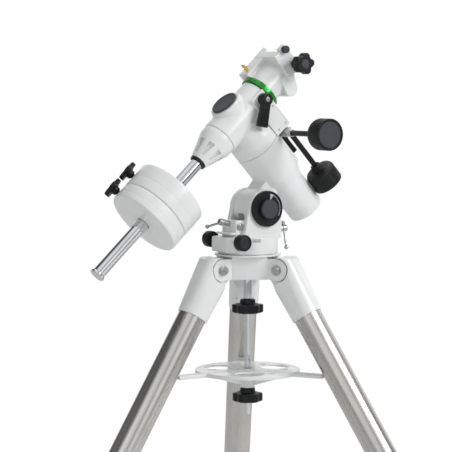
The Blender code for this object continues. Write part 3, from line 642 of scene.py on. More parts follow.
def loft(name, place, low, high):
    bm = bmesh.new()
    below = [bm.verts.new(point) for point in low]
    above = [bm.verts.new(point) for point in high]
    bm.faces.new(below)
    bm.faces.new(above)
    for i in range(len(below)):
        bm.faces.new((below[i - 1], below[i], above[i], above[i - 1]))
    return finish(bm, name, place)


def leg_casting(key):
    place = leg_frame(key)
    half = SLEEVE_HALF
    body = loft("shell", place, rounded_box(half, -half, half, 22, SLEEVE_END),
                rounded_box(half, -half - 5, half, 13, 24))
    shoulder = [(-40, SLEEVE_END - 9), (40, SLEEVE_END - 9), (40, -32), (23.6, -32), (19, -22)]
    shoulder += arc(0, 0, 19.5, 0, 55, 12)
    shoulder += [(-9, 18), (-22, 10), (-27, 5.5), (-40, -4)]
    combine(body, "INTERSECT",
            [prism("shoulder", place @ SIDE_VIEW, shoulder, -40, 40, corner=5.0)])
    shell = cast(f"leg_casting_{key}_shell", 0.9, 6, body)
    tools = []
    for side in (1, -1):
        reach = sorted((side * (EAR_FACE - EAR_WALL - GAP), side * 40))
        tools.append(rod("pocket", place @ ALONG_X, EAR_R + 2.5, *reach, 0, SIDES))
        tools.append(block("swing_room", place, reach, (-2.5, 40), (-18.6, 40)))
    for x in (-14, 14):
        spot = place @ move(x=x, z=-54) @ turn(-90, "X")
        tools.append(rod("screw_hole", spot, 1.2, 17.6, 40, 0, 24))
    tools += [rod("pivot", place @ ALONG_X, PIVOT_HOLE_R, -30, 30, 0),
              rod("bore", place, TUBE_R + GAP, SLEEVE_END - 5, TUBE_TOP + 3, 0, SIDES)]
    dress(cut(shell, *tools), "white_paint", f"leg_casting_{key}")


def leg_tubes(key):
    place = leg_frame(key)
    upper = tube(f"leg_tube_{key}_pipe", place, TUBE_R - TUBE_WALL, TUBE_R, TUBE_END,
                 TUBE_TOP)
    dress(upper, "stainless", f"leg_tube_{key}")
    sole_down = (HUB_HEIGHT + PIVOT_RISE) / math.cos(math.radians(LEG_SPLAY))
    lower = tube(f"lower_leg_{key}_pipe", place, LOWER_R - LOWER_WALL, LOWER_R,
                 -sole_down + 27, TUBE_END + 480)
    dress(lower, "stainless", f"lower_leg_{key}")
    rings = ribs(18.0, -sole_down + 14, -sole_down + 38, 0.5, 36)
    foot = turned(f"lower_leg_{key}_foot", place, [
        (0, -sole_down - 20), (15, -sole_down - 20), (20, -sole_down + 12),
        (20, -sole_down + 40), (17.5, -sole_down + 44), (LOWER_R + 0.05, -sole_down + 44),
        (LOWER_R + 0.05, -sole_down + 26), (0, -sole_down + 26)], 1.5, 216, ripple=rings)
    floor = block("floor", Matrix(), (-600, 600), (-600, 600), (-60, 0))
    add_detail(cut(foot, floor), "rubber", f"lower_leg_{key}")


def leg_clamp(key):
    place = leg_frame(key)
    grip = ribs(26.0, TUBE_END - 12, TUBE_END + 20, 0.6, 48)
    collar = turned(f"leg_clamp_{key}_collar", place, [
        (LOWER_R + GAP, TUBE_END - 22), (22, TUBE_END - 22), (27, TUBE_END - 16),
        (27, TUBE_END + 24), (25, TUBE_END + 26), (TUBE_R + GAP, TUBE_END + 26),
        (TUBE_R + GAP, TUBE_END - GAP), (LOWER_R + GAP, TUBE_END - GAP)], 1.2, 240,
        closed=True, ripple=grip)
    out = place @ move(z=TUBE_END - 11) @ turn(90, "X")
    unite(collar, rod("boss", out, 8.5, 18, 33, 1.0))
    cut(collar, rod("thread", out, 3.8, 10, 40, 0))
    dress(collar, "black_plastic", f"leg_clamp_{key}")
    wings = lobes(0, 14, 6, 2)
    screw = turned(f"clamp_screw_{key}_wings", out, [
        (0, 33.8), (14, 33.8), (14, 44.5), (0, 44.5)], 2.2, 120, ripple=wings)
    unite(screw, rod("stem", out, 3.5, LOWER_R + GAP, 38))
    dress(screw, "steel", f"clamp_screw_{key}")


def centre_rod():
    rod_piece = turned("centre_rod_chrome", HUB, [
        (0, -230), (ROD_R, -230), (ROD_R, -44), (6.5, -44), (6.5, HUB_LOW - GAP),
        (ROD_R, HUB_LOW - GAP), (ROD_R, 42), (0, 42)], 0.6)
    dress(rod_piece, "chrome", "centre_rod")


def bored_knob(node, top, radius):
    """A six-lobed knob under its round neck, with a raised rim and a dished face."""
    profile = [(ROD_R + GAP, top - 22), (radius - 7, top - 22), (radius - 5, top - 23),
               (radius, top - 21), (radius, top - 9), (12.5, top - 8), (12, top - 1),
               (ROD_R + GAP, top)]
    knob = turned(f"{node}_star", HUB, profile, 1.4, 192, closed=True,
                  ripple=lobes(12.6, radius, 3.4, 6))
    dress(knob, "black_plastic", node)


def tray():
    plate = tube("tray_plate", HUB, 10, 84, TRAY_Z - 3, TRAY_Z, 0.9, 144)
    unite(plate, tube("rim", HUB, 81.2, 84, TRAY_Z - 5.5, TRAY_Z + 0.5, 0.9, 144))
    holes = []
    for angle in LEG_TURNS.values():
        out = HUB @ turn(angle, "Z")
        unite(plate, block("arm", out, (-9, 9), (-TRAY_REACH, -5),
                           (TRAY_Z - 5.5, TRAY_Z + 0.4), 1.4))
        gusset = [(-86, TRAY_Z - 2), (-5, TRAY_Z - 2), (-5, TRAY_Z - 27), (-12, TRAY_Z - 25)]
        unite(plate, prism("gusset", out @ SIDE_VIEW, gusset, -2, 2, 0.6))
        between = HUB @ turn(angle + 60, "Z")
        holes.append(rod("big", between @ move(y=-52), 24, TRAY_Z - 9, TRAY_Z + 5, 0, 72))
        for side in (-1, 1):
            spot = between @ turn(side * 34, "Z") @ move(y=-58)
            holes.append(rod("small", spot, 8.5, TRAY_Z - 9, TRAY_Z + 5, 0, 48))
    cut(plate, *holes)
    unite(plate, rod("hub", HUB, 11.5, TRAY_Z - 29, TRAY_Z + 2, 1.0))
    cut(plate, rod("bore", HUB, ROD_R + GAP, TRAY_Z - 40, TRAY_Z + 10, 0))
    dress(plate, "white_paint", "tray")


# ---- base and fork

def cheek(x_low, x_high):
    outline = [(PIVOT_Y + CHEEK_R, BASE_TOP - 4), (PIVOT_Y + CHEEK_R, PIVOT_Z)]
    outline += arc(PIVOT_Y, PIVOT_Z, CHEEK_R, 0, 180, 40)[1:]
    outline += [(-24, 66), (-27, BASE_TOP - 4)]
    return prism("cheek", HUB @ SIDE_VIEW, outline, x_low, x_high, 1.2, corner=2.0)


def azimuth_base():
    ring = turned("ring", HUB, [
        (0, HEAD_TOP + GAP), (BASE_R, HEAD_TOP + GAP), (BASE_R, BASE_TOP), (0, BASE_TOP)],
        2.0, 144)
    nose = [(-32, -10), (-32, -46), (-22, -54), (22, -54), (32, -46), (32, -10)]
    pieces = [
        ring, prism("nose", HUB, nose, HEAD_TOP + 4, BASE_TOP - 0.4, 2.0, corner=3.0),
        cheek(CHEEK_IN, CHEEK_OUT), cheek(-CHEEK_OUT, -CHEEK_IN),
        block("floor", HUB, (-21, 21), (-25, 44), (BASE_TOP - 3, 60), 1.0),
        block("north_wall", HUB, (-20, 20), (-36, -18.5), (BASE_TOP - 4, 83), 1.4),
        block("south_wall", HUB, (-20.5, 20.5), (38.5, 45.8), (BASE_TOP - 2, 76), 1.4),
        block("ledge", HUB, (-22, 22), (-46, -30), (60.5, 64), 1.0),
        rod("south_boss", HUB @ move(z=SOUTH_SCREW_Z) @ turn(90, "X"), 7, -50.5, -42)]
    base = cast("azimuth_base_casting", 0.7, 4, *pieces)
    along_y = turn(90, "X")
    tools = [
        block("peg_slot", HUB, (-12.4, 12.4), (PEG_Y - 6, PEG_Y + 6.2), (HEAD_TOP - 5, 56)),
        rod("azimuth_thread", HUB @ move(y=PEG_Y, z=AZIMUTH_SCREW_Z) @ ALONG_X,
            SCREW_HOLE_R, -40, 40, 0),
        rod("rod_well", HUB, ROD_R + 0.4, HEAD_TOP - 5, 46, 0),
        rod("north_thread", north_screw_frame(), SCREW_HOLE_R, 10, 48, 0),
        rod("south_thread", HUB @ move(z=SOUTH_SCREW_Z) @ along_y, SCREW_HOLE_R,
            -60, -30, 0),
        rod("pivot", ALTITUDE @ ALONG_X, 11.5, 0, 40, 0, SIDES),
        rod("bolt_hole", ALTITUDE @ ALONG_X, 6.4, -40, 10, 0)]
    for side in (1, -1):
        place = HUB @ move(y=PEG_Y, z=AZIMUTH_SCREW_Z) @ turn(90 * side, "Y")
        tools.append(rod("knob_room", place, 13.8, 32.5, 60, 0, 72))
    dress(cut(base, *tools), "white_paint", "azimuth_base")
    base_details()


def base_details():
    """The wall's cross screw and a blank label on the ring."""
    spot = HUB @ move(x=20, y=-28, z=73) @ ALONG_X
    screw = hexagon("azimuth_base_wall_bolt", spot, 4.6, -1.0, 3.4)
    unite(screw, tube("washer", spot, 2.0, 6.2, -0.5, 0.9, 0.2, 48))
    add_detail(screw, "steel", "azimuth_base")
    plate = tube("azimuth_base_blank_plate", HUB, BASE_R - 1.0, BASE_R + 0.35, BASE_TOP - 7.6,
                 BASE_TOP - 2.2, 0.15, 192)
    wedge = [(0, 0), (90, -41), (90, -13)]
    keep = prism("keep", HUB, wedge, BASE_TOP - 20, BASE_TOP + 5)
    combine(plate, "INTERSECT", [keep])
    add_detail(plate, "label_grey", "azimuth_base")


def azimuth_knob(number, side):
    node = f"azimuth_knob_{number}"
    place = HUB @ move(y=PEG_Y, z=AZIMUTH_SCREW_Z) @ turn(90 * side, "Y")
    knurl = ribs(12.4, 39.6, 51.5, 0.55, 36)
    knob = turned(f"{node}_knurled", place, [
        (0, ROD_R + GAP), (4, ROD_R + GAP), (4, 37.8), (9, 38), (12.2, 38.8), (13, 40),
        (13, 52), (11.5, 54), (9.6, 54), (9.6, 52.4), (0, 52.4)], 0.5, 288, ripple=knurl)
    dress(knob, "black_plastic", node)
    cap = turned(f"{node}_cap", place, [
        (0, 52.3), (9.3, 52.3), (9.3, 53.2), (7.2, 53.7), (6.8, 53.1), (0, 53.1)], 0.25)
    add_detail(cap, "dark_cap", node)


def tommy_screw(node, place, tip, eye, shift):
    """A screw turned by a sliding cross bar with a ball on each end."""
    screw = turned(f"{node}_bar", place, [
        (0, tip), (1.5, tip), (4, tip + 4), (4, eye - 4), (5.5, eye - 3), (5.5, eye + 4),
        (4, eye + 5.5), (0, eye + 5.5)], 0.7, ripple=thread(tip + 6, eye - 6, 1.25, 0.35))
    bar = place @ move(z=eye) @ turn(90, "X")
    unite(screw, rod("bar", bar, 1.8, shift - 20, shift + 20, 0, 32))
    for end in (shift - 20, shift + 20):
        unite(screw, turned("ball", bar @ move(z=end), arc(0, 0, BALL_R, -90, 90, 20), 0, 40))
    dress(screw, "steel", node)


def latitude_screws():
    south = HUB @ move(y=PIVOT_Y, z=SOUTH_SCREW_Z) @ turn(-90, "X") @ turn(-14, "Z")
    tommy_screw("latitude_screw_north", north_screw_frame(), tip=0, eye=55.6, shift=-20)
    tommy_screw("latitude_screw_south", south, tip=11.1, eye=54.6, shift=-11.5)


def altitude_bolt():
    place = ALTITUDE @ ALONG_X
    bolt = turned("altitude_bolt_cap", place, [
        (0, -38), (6, -38), (6, 34.8), (15, 34.8), (15, 41.5), (0, 41.5)], 1.4)
    dress(bolt, "grey_cap", "altitude_bolt")
    nut = hexagon("altitude_bolt_nut", place @ turn(180, "X"), 10.5, CHEEK_OUT + GAP, 37)
    add_detail(nut, "steel", "altitude_bolt")


def latitude_dial():
    place = ALTITUDE @ ALONG_X
    dial = turned("latitude_dial_disc", place, [
        (6.4, CHEEK_IN), (11, CHEEK_IN), (11, CHEEK_OUT + GAP), (DIAL_R, CHEEK_OUT + GAP),
        (DIAL_R, 34.5), (25.2, 34.5), (24.6, 34.1), (6.4, 34.1)], 0.5, 144, closed=True)
    dress(dial, "black_plastic", "latitude_dial")
    marks = None
    for i in range(DIAL_TICKS):
        inner = 22.0 if i % 4 == 0 else 23.0
        spot = place @ turn(DIAL_ZERO + DIAL_STEP * i, "Z")
        mark = block("latitude_dial_scale", spot, (inner, 24.3), (-0.17, 0.17), (33.9, 34.22))
        marks = unite(marks, mark) if marks else mark
    add_detail(marks, "dial_print", "latitude_dial")
    point = place @ turn(DIAL_INDEX, "Z")
    wedge = prism("latitude_dial_index", point, [(24.2, -3.4), (24.2, 3.4), (15.4, 0.8),
                                                 (15.4, -0.8)], 33.9, 34.4, 0.12)
    add_detail(wedge, "label_grey", "latitude_dial")


# ---- polar axis

def ra_housing():
    body = turned("body", RA, [
        (0, -BAND_END_DOWN), (33, -BAND_END_DOWN), (33, -RA_END_DOWN), (37.5, -RA_END_DOWN),
        (RA_R, -RA_END_DOWN + 1.5), (RA_R, -SEAM_DOWN), (0, -SEAM_DOWN)], 0.6, 144)
    across = RA @ move(y=-PIVOT_BELOW, z=-PIVOT_DOWN) @ ALONG_X
    half = CHEEK_IN - GAP
    neck = [(-32, -101), (-30, -131), (-52, -146), (-69, -140), (-69, -106)]
    side_view = RA @ turn(90, "Y") @ turn(90, "Z")
    worm_tube = RA @ move(y=RA_WORM_OFF, z=-RA_WORM_DOWN) @ ALONG_X
    shell = cast("ra_housing_casting", 0.8, 3, body,
                 rod("barrel", across, 30, -half, half, 0.8, 144),
                 prism("neck", side_view, neck, -half + 0.5, half - 0.5, 1.0, corner=3.0),
                 rod("worm_tube", worm_tube, 7.2, -20, 20, 1.0, SIDES))
    cut(shell, block("slot", ALTITUDE, (-8, 8), (-40, 40), (-50, -8)))
    unite(shell, block("lug", ALTITUDE, (-7.5, 7.5), (-9, 9), (-38, -6), 1.0))
    cut(shell, rod("bore", RA, SHAFT_R + GAP, -140, -50, 0, SIDES),
        rod("wheel_room", RA, 34.5, -70.5, -50, 0, SIDES),
        rod("worm_bore", worm_tube, RA_WORM_R + GAP + 0.2, -17, 25, 0),
        rod("pivot_bore", across, 6.4, -30, 30, 0),
        rod("cover_seat", RA, 27.8, -140, -BAND_END_DOWN + 6, 0, SIDES))
    dress(shell, "white_paint", "ra_housing")


def polar_cover():
    low = -COVER_END_DOWN
    seat = -BAND_END_DOWN
    cap = turned("polar_cover_cap", RA, [
        (0, low), (COVER_R, low), (COVER_R, seat - GAP), (27.2, seat - GAP),
        (27.2, seat + 4), (25, seat + 4), (25, low + 3), (0, low + 3)], 3.0, 144)
    dress(cap, "white_paint", "polar_cover")


def shafts_and_wheels():
    dress(tube("ra_shaft_steel", RA, 10.5, SHAFT_R, -124, -29.5), "steel", "ra_shaft")
    worm_wheel("ra_worm_wheel", RA, SHAFT_R + GAP, RA_WORM_OFF - RA_WORM_R - GAP,
               middle=-RA_WORM_DOWN, half=4.5, teeth=144)
    worm_wheel("dec_worm_wheel", DEC, DEC_SHAFT_R + GAP, DEC_WORM_X - DEC_WORM_R - GAP,
               middle=DEC_WORM_Z, half=3.0, teeth=72)
    shaft = rod("dec_shaft_steel", DEC, DEC_SHAFT_R, DEC_LOW + 1, 82, 1.0, SIDES)
    dress(cut(shaft, rod("window", RA, 5.5, -20, 20, 0)), "steel", "dec_shaft")


def worm_wheel(node, place, bore, radius, middle, half, teeth):
    """A bronze wheel with shallow teeth around a waisted rim."""
    cutting = ribs(radius - 1.2, middle - half, middle + half, 0.9, teeth)
    blank = turned(f"{node}_bronze", place, [
        (bore, middle - half), (radius, middle - half), (radius - 0.5, middle),
        (radius, middle + half), (bore, middle + half)], 0.3, teeth * 4, closed=True,
        ripple=cutting)
    dress(blank, "bronze", node)


def worm(node, place, root, tip, half, shank):
    """A worm whose thread runs as a ripple round a fine-stepped barrel."""
    steps = 48
    low, high = shank
    barrel = [(tip, -half + 2 * half * i / steps) for i in range(steps + 1)]
    profile = [(0, low), (SHANK_R, low), (SHANK_R, -half - 1)] + barrel
    profile += [(SHANK_R, half + 1), (SHANK_R, high), (0, high)]
    cutting = thread(-half - 0.1, half + 0.1, 2 * half / 7, tip - root)

    def ripple(r, z, a):
        return cutting(r, z, a) if r > tip - 0.01 else 0.0
    dress(turned(f"{node}_thread", place, profile, 0, 48, ripple=ripple), "steel", node)


def slow_motion(axis, place, coupler, rod_end, coupler_r, start):
    """A slow-motion control: a bright coupler, a black rod and a knob beyond start."""
    low, high = coupler
    bright = turned(f"{axis}_slow_rod_coupler", place, [
        (2.6, low), (coupler_r, low), (coupler_r, high), (4.1, high), (4.1, low + 8.2),
        (2.6, low + 8.2)], 0.5, SIDES, closed=True)
    cut(bright, rod("set_screw", place @ move(z=(low + high) / 2) @ turn(90, "X"), 1.6,
                    coupler_r - 1.4, coupler_r + 3, 0, 32))
    add_detail(bright, "steel", f"{axis}_slow_rod")
    black = rod(f"{axis}_slow_rod_stem", place, 4.4, high + 0.3, rod_end, 0.6)
    unite(black, rod("tail", place, 4.0, low + 9, high + 2, 0.3))
    dress(black, "black_plastic", f"{axis}_slow_rod")
    barrel = KNOB_R - 0.6
    grip = ribs(barrel - 1.2, start + 10.5, start + 35.4, 1.1, 36)
    knob = turned(f"{axis}_slow_knob_grip", place, [
        (4.7, start - 4), (8, start - 4), (8, start), (10.5, start), (10.5, start + 5.5),
        (18, start + 5.5), (KNOB_R - 3, start + 7.5), (barrel, start + 11.5),
        (barrel, start + 37), (barrel - 3.6, start + 37), (barrel - 4.2, start + 35.8),
        (0, start + 35.8), (0, start + 20), (4.7, start + 20)], 1.1, 288, closed=True,
        ripple=grip)
    dress(knob, "black_plastic", f"{axis}_slow_knob")
    face = turned(f"{axis}_slow_knob_face", place, [
        (0, start + 35.7), (barrel - 4.3, start + 35.7), (barrel - 4.6, start + 36.3),
        (barrel - 8, start + 36.0), (0, start + 35.95)], 0.4, 144)
    add_detail(face, "grey_cap", f"{axis}_slow_knob")


def lever(node, place, hub_r, hub_span, arm_span, reach, half):
    """A clutch lever: a round hub, a ridged arm and a bright screw in the hub's middle."""
    low, high = hub_span
    hub = turned(f"{node}_handle", place, [(0, low), (hub_r, low), (hub_r, high), (0, high)],
                 1.6, SIDES)
    arm = [(-hub_r * 0.8, 0), (-hub_r * 0.8, -14), (-half, -reach), (half, -reach),
           (hub_r * 0.8, -14), (hub_r * 0.8, 0)]
    unite(hub, prism("arm", place, arm, *arm_span, 1.3, corner=1.6))
    grooves = []
    for i in range(-1, 2):
        grooves.append(block("groove", place, (i * half * 0.55 - 0.5, i * half * 0.55 + 0.5),
                             (-reach + 3.5, -15), (arm_span[1] - 0.8, arm_span[1] + 2)))
    cut(hub, *grooves)
    cut(hub, rod("seat", place, 4.2, high - 1.6, high + 2, 0))
    dress(hub, "black_plastic", node)
    screw = rod(f"{node}_screw", place, 3.9, high - 1.7, high - 0.1, 0.5)
    cut(screw, prism("socket", place, arc(0, 0, 1.9, 0, 300, 5), high - 1.2, high + 1))
    add_detail(screw, "steel", node)


# ---- declination axis

def dec_housing():
    head = turned("head", DEC, [
        (0, DEC_LOW), (DEC_R, DEC_LOW), (DEC_R, DEC_TOP), (0, DEC_TOP)], 1.0, 144)
    polar = turned("polar", RA, [
        (0, -SEAM_DOWN + GAP), (RA_R, -SEAM_DOWN + GAP), (RA_R, -38), (DEC_R, -18), (27, 0),
        (26.5, 33), (0, 33)], 1.2, 144)
    pad = block("worm_pad", DEC, (10, DEC_PAD_X), (-16, 8), (24, DEC_TOP - 0.4), 2.0)
    shell = cast("dec_housing_casting", 0.8, 5, head, polar, pad)
    cut(shell, rod("dec_bore", DEC, DEC_SHAFT_R + GAP, DEC_LOW - 5, DEC_TOP + 5, 0),
        rod("ra_bore", RA, 11, -70, 40, 0),
        rod("shaft_seat", RA, SHAFT_R + GAP, -70, -29, 0, SIDES),
        rod("wheel_room", DEC, 23.4, DEC_ROOM_LOW, DEC_TOP + 5, 0, SIDES),
        block("worm_room", DEC, (15, DEC_WORM_X + DEC_ROOM_HALF), (-13, 40),
              (DEC_ROOM_LOW, DEC_TOP + 5)))
    dress(shell, "white_paint", "dec_housing")


def front_cap():
    cap = turned("front_cap_disc", RA, [
        (0, 26), (10.6, 26), (10.6, 33 + GAP), (22, 33 + GAP), (22, 36.5), (19.6, 36.5),
        (19.0, 36.0), (0, 36.0)], 0.7, 144)
    dress(cap, "grey_cap", "front_cap")


def dec_worm_cover():
    half = 9.5
    box = block("dec_worm_cover_box", DEC, (DEC_WORM_X - half, DEC_WORM_X + half),
                (8 + GAP, 57.4), (23, DEC_TOP - 0.2), 1.2)
    inner = DEC @ move(x=DEC_WORM_X, z=DEC_WORM_Z) @ turn(-90, "X")
    room = (DEC_WORM_X - DEC_ROOM_HALF, DEC_WORM_X + DEC_ROOM_HALF)
    unite(box, rod("boss", inner, 4.6, 50, 61.5))
    over_polar = [(0, -75), (RA_R + GAP, -75), (RA_R + GAP, -37.7), (DEC_R, -17.5), (DEC_R, 0),
                  (0, 0)]
    seam = DEC_WORM_X + half
    cut(box, turned("polar_room", RA, over_polar, 0, 144),
        rod("hollow", DEC, DEC_R + GAP, 10, 70, 0, 144),
        block("room", DEC, room, (0, 55), (DEC_ROOM_LOW, DEC_TOP - 1)),
        rod("worm_bore", inner, 2.8, 40, 70, 0))
    cut(box, block("seam", DEC, (seam - 0.6, seam + 2), (0, 70), (DEC_TOP - 3.4, DEC_TOP - 2.8)))
    dress(box, "white_paint", "dec_worm_cover")
    for number, (y, z) in enumerate(((15, DEC_TOP - 7), (51, DEC_TOP - 7), (51, 31))):
        spot = DEC @ move(x=seam, y=y, z=z) @ ALONG_X
        screw = rod(f"dec_worm_cover_screw_{number}", spot, 1.7, -1, 0.4, 0.3, 32)
        cut(screw, prism("socket", spot, arc(0, 0, 0.8, 0, 300, 5), -0.4, 2))
        add_detail(screw, "steel", "dec_worm_cover")


def dec_circle():
    middle = (DEC_TOP + 0.5 + CIRCLE_TOP) / 2
    band = tube("dec_circle_band", DEC, 26.4, CIRCLE_R, DEC_TOP + 0.5, CIRCLE_TOP, 0.7, 192)
    holes = [rod("hole", DEC @ turn(a, "Z") @ move(z=middle) @ ALONG_X, 1.1, CIRCLE_R - 2,
                 CIRCLE_R + 2, 0, 24) for a in CIRCLE_HOLES]
    dress(cut(band, *holes), "green_anodised", "dec_circle")
    for number, a in enumerate(CIRCLE_HOLES):
        spot = DEC @ turn(a, "Z") @ move(z=middle) @ ALONG_X
        grub = rod(f"dec_circle_grub_{number}", spot, 1.05, CIRCLE_R - 3, CIRCLE_R - 1.2, 0.1, 24)
        add_detail(grub, "black_plastic", "dec_circle")


def saddle():
    profile = [(-30, CHANNEL_LOW), (30, CHANNEL_LOW), (30, WALL_TOP), (21.8, WALL_TOP),
               (21.8, SEAT_Z), (-12.6, SEAT_Z), (-12.6, SEAT_Z + 5), (-28, 130), (-30, 129)]
    neck = turned("neck", DEC, [
        (0, DEC_TOP + 0.6), (26, DEC_TOP + 0.6), (26, CHANNEL_LOW + 2), (0, CHANNEL_LOW + 2)],
        0.6, 144)
    tongue = [(0, 89)] + arc(LUG_Y, LUG_Z, LUG_R, -70, 48, 24)
    tongue += [(8.2, SEAT_Z - 0.7), (0, SEAT_Z - 0.7)]
    shell = cast("saddle_casting", 0.7, 7, neck,
                 prism("channel", DEC @ turn(90, "X"), profile, *CHANNEL_ENDS, 1.2),
                 block("column", DEC, (-29.6, -5), (-35.6, -22),
                       (CIRCLE_TOP + 0.6, CHANNEL_LOW + 1), 1.0),
                 block("lock_lug", DEC, (21, 29.8), (-40, -27), (118.5, WALL_TOP - 0.7), 2.0),
                 prism("tongue", DEC @ SIDE_VIEW, tongue, -12, 27.5, 1.8))
    cut(shell, rod("shaft_hole", DEC, DEC_SHAFT_R + GAP, 40, 84, 0),
        rod("knob_thread", saddle_screw_frame(*STAR_KNOB), 4.3, 15, 40, 0),
        rod("lock_thread", saddle_screw_frame(*LOCK_SCREW), 3.3, 15, 40, 0),
        rod("column_thread", thumb_frame(), 2.3, -12, 20, 0))
    dress(shell, "white_paint", "saddle")


def saddle_screws():
    place = saddle_screw_frame(*STAR_KNOB)
    knob = turned("saddle_knob_star", place, [
        (0, 23), (4, 23), (4, 30 + GAP), (7.5, 30 + GAP), (7.2, 47), (17.4, 47), (17.4, 61),
        (8.4, 61), (8.0, 60.3), (0, 60.3)], 1.6, 200,
        ripple=lobes(8.0, 17.4, 4.4, 5))
    dress(knob, "black_plastic", "saddle_knob")
    insert = rod("saddle_knob_insert", place, 7.4, 60.2, 60.9, 0.4, 72)
    add_detail(insert, "grey_cap", "saddle_knob")
    lock = turned("saddle_lock_screw_head", saddle_screw_frame(*LOCK_SCREW), [
        (0, 23), (3, 23), (3, 30 + GAP), (6, 30 + GAP), (6, 38), (0, 38)], 1.2,
        ripple=ribs(5.6, 31.5, 36.5, 0.3, 24))
    dress(lock, "grey_cap", "saddle_lock_screw")
    spot = thumb_frame()
    brass = turned("pointer_screw_brass", spot, [
        (0, -7), (2, -7), (2, 4), (3.6, 4), (3.6, 6), (2, 6), (2, 11), (0, 11)], 0.3,
        ripple=thread(-7, 3.5, 0.8, 0.15))
    unite(brass, block("wing", spot, (-5.5, 5.5), (-1.3, 1.3), (7, 13), 0.7))
    dress(brass, "brass", "pointer_screw")


def bar_adapter():
    top = DEC_LOW - GAP
    end_r, shoulder_r = 15.0, 28.5
    cone = turned("bar_adapter_cone", DEC, [
        (BAR_R + GAP, ADAPTER_END), (end_r - 0.5, ADAPTER_END), (end_r, ADAPTER_END + 2),
        (shoulder_r, ADAPTER_SHOULDER), (shoulder_r, top), (BAR_R + GAP, top)], 0.8, 144,
        closed=True)
    slope = math.degrees(math.atan2(shoulder_r - end_r, ADAPTER_SHOULDER - ADAPTER_END - 2))
    outline = [(-5.5, -12), (5.5, -12), (0.8, -36), (-0.8, -36)]
    recesses = []
    for i in range(8):
        facet = (DEC @ turn(45 * i + 12, "Z") @ move(y=-shoulder_r, z=ADAPTER_SHOULDER)
                 @ turn(90 + slope, "X"))
        recesses.append(prism("recess", facet, outline, -4.2, 8, 0.0, corner=0.8))
    dress(cut(cone, *recesses), "white_paint", "bar_adapter")
    ring = tube("bar_lock_ring_nut", DEC, BAR_R + GAP, 13.4, ADAPTER_END - GAP - 3.4,
                ADAPTER_END - GAP, 0.6)
    dress(ring, "black_plastic", "bar_lock_ring")


def weight_bar():
    bar = rod("weight_bar_chrome", DEC, BAR_R, BAR_END, DEC_LOW - 3, 0.8, SIDES)
    cut(bar, rod("thread", DEC, 4.0, BAR_END - 5, BAR_END + 15, 0))
    dress(bar, "chrome", "weight_bar")
    toe = turned("toe_stop_chrome", DEC, [
        (0, BAR_END - 4.5), (12, BAR_END - 4.5), (12, BAR_END - GAP), (3.7, BAR_END - GAP),
        (3.7, BAR_END + 12), (0, BAR_END + 12)], 0.7)
    dress(toe, "chrome", "toe_stop")


def weight(name):
    low, high = WEIGHT_FACES[name]
    groove = low + (high - low) * GROOVE_AT
    disc = turned(f"weight_{name}_disc", DEC, [
        (BAR_R + 0.4, low), (WEIGHT_R, low), (WEIGHT_R, groove - GROOVE_HALF),
        (WEIGHT_R - GROOVE_DEEP, groove), (WEIGHT_R, groove + GROOVE_HALF),
        (WEIGHT_R, high), (BAR_R + 0.4, high)], 2.6, 192, closed=True)
    cut(disc, rod("thread", weight_knob_frame(name), 4.3, 5, 70, 0))
    dress(disc, "white_paint", f"weight_{name}")
    knob = turned(f"weight_knob_{name}_star", weight_knob_frame(name), [
        (0, BAR_R + 0.6), (4, BAR_R + 0.6), (4, 62), (6.5, 62.5), (7.5, 69), (17.2, 69),
        (17.2, 76), (9, 76), (8.4, 75.2), (0, 75.2)], 1.5, 200,
        ripple=lobes(8.0, 17.2, 4.0, 5))
    dress(knob, "black_plastic", f"weight_knob_{name}")


# ---- assembly

def build_mount():
    tripod_head()
    for key in LEG_TURNS:
        leg_bolt(key)
        leg_casting(key)
        leg_tubes(key)
        leg_clamp(key)
    centre_rod()
    bored_knob("mount_lock_knob", -44 - GAP, 25)
    bored_knob("tray_lock_knob", TRAY_Z - 29 - GAP, 24)
    tray()
    azimuth_base()
    azimuth_knob(1, 1)
    azimuth_knob(2, -1)
    altitude_bolt()
    latitude_screws()
    latitude_dial()
    ra_housing()
    polar_cover()
    shafts_and_wheels()
    ra_worm = RA @ move(y=RA_WORM_OFF, z=-RA_WORM_DOWN) @ ALONG_X
    worm("ra_worm", ra_worm, root=3.4, tip=RA_WORM_R, half=12, shank=(-16, 30.5))
    slow_motion("ra", ra_worm, coupler=(23, 52), rod_end=133, coupler_r=6.0, start=115)
    lever("ra_clutch_lever", RA @ move(x=1, z=-84) @ turn(-90, "X") @ turn(180, "Z"),
          hub_r=8, hub_span=(RA_R + GAP, 48.3), arm_span=(40.3, 48.3), reach=29, half=7.5)
    dec_housing()
    front_cap()
    dec_worm_cover()
    dec_circle()
    saddle()
    saddle_screws()
    dec_worm = DEC @ move(x=DEC_WORM_X, z=DEC_WORM_Z) @ turn(-90, "X")
    worm("dec_worm", dec_worm, root=2.6, tip=DEC_WORM_R, half=9, shank=(-12, 70.5))
    slow_motion("dec", dec_worm, coupler=(63, 74), rod_end=164, coupler_r=3.4, start=149.5)
    lever("dec_clutch_lever", DEC @ move(y=-4, z=42) @ ALONG_X @ turn(126, "Z"),
          hub_r=9.8, hub_span=(DEC_PAD_X + GAP, 47), arm_span=(38, 46), reach=44, half=9.3)
    bar_adapter()
    weight_bar()
    for name in WEIGHT_FACES:
        weight(name)


# ---- studio

def view_axes():
    """Directions towards the camera, to its right and upwards."""
    a = math.radians(VIEW_AZIMUTH)
    e = math.radians(VIEW_ELEVATION)
    back = Vector((math.sin(a) * math.cos(e), -math.cos(a) * math.cos(e), math.sin(e)))
    right = Vector((math.cos(a), math.sin(a), 0.0))
    return back, right, back.cross(right)


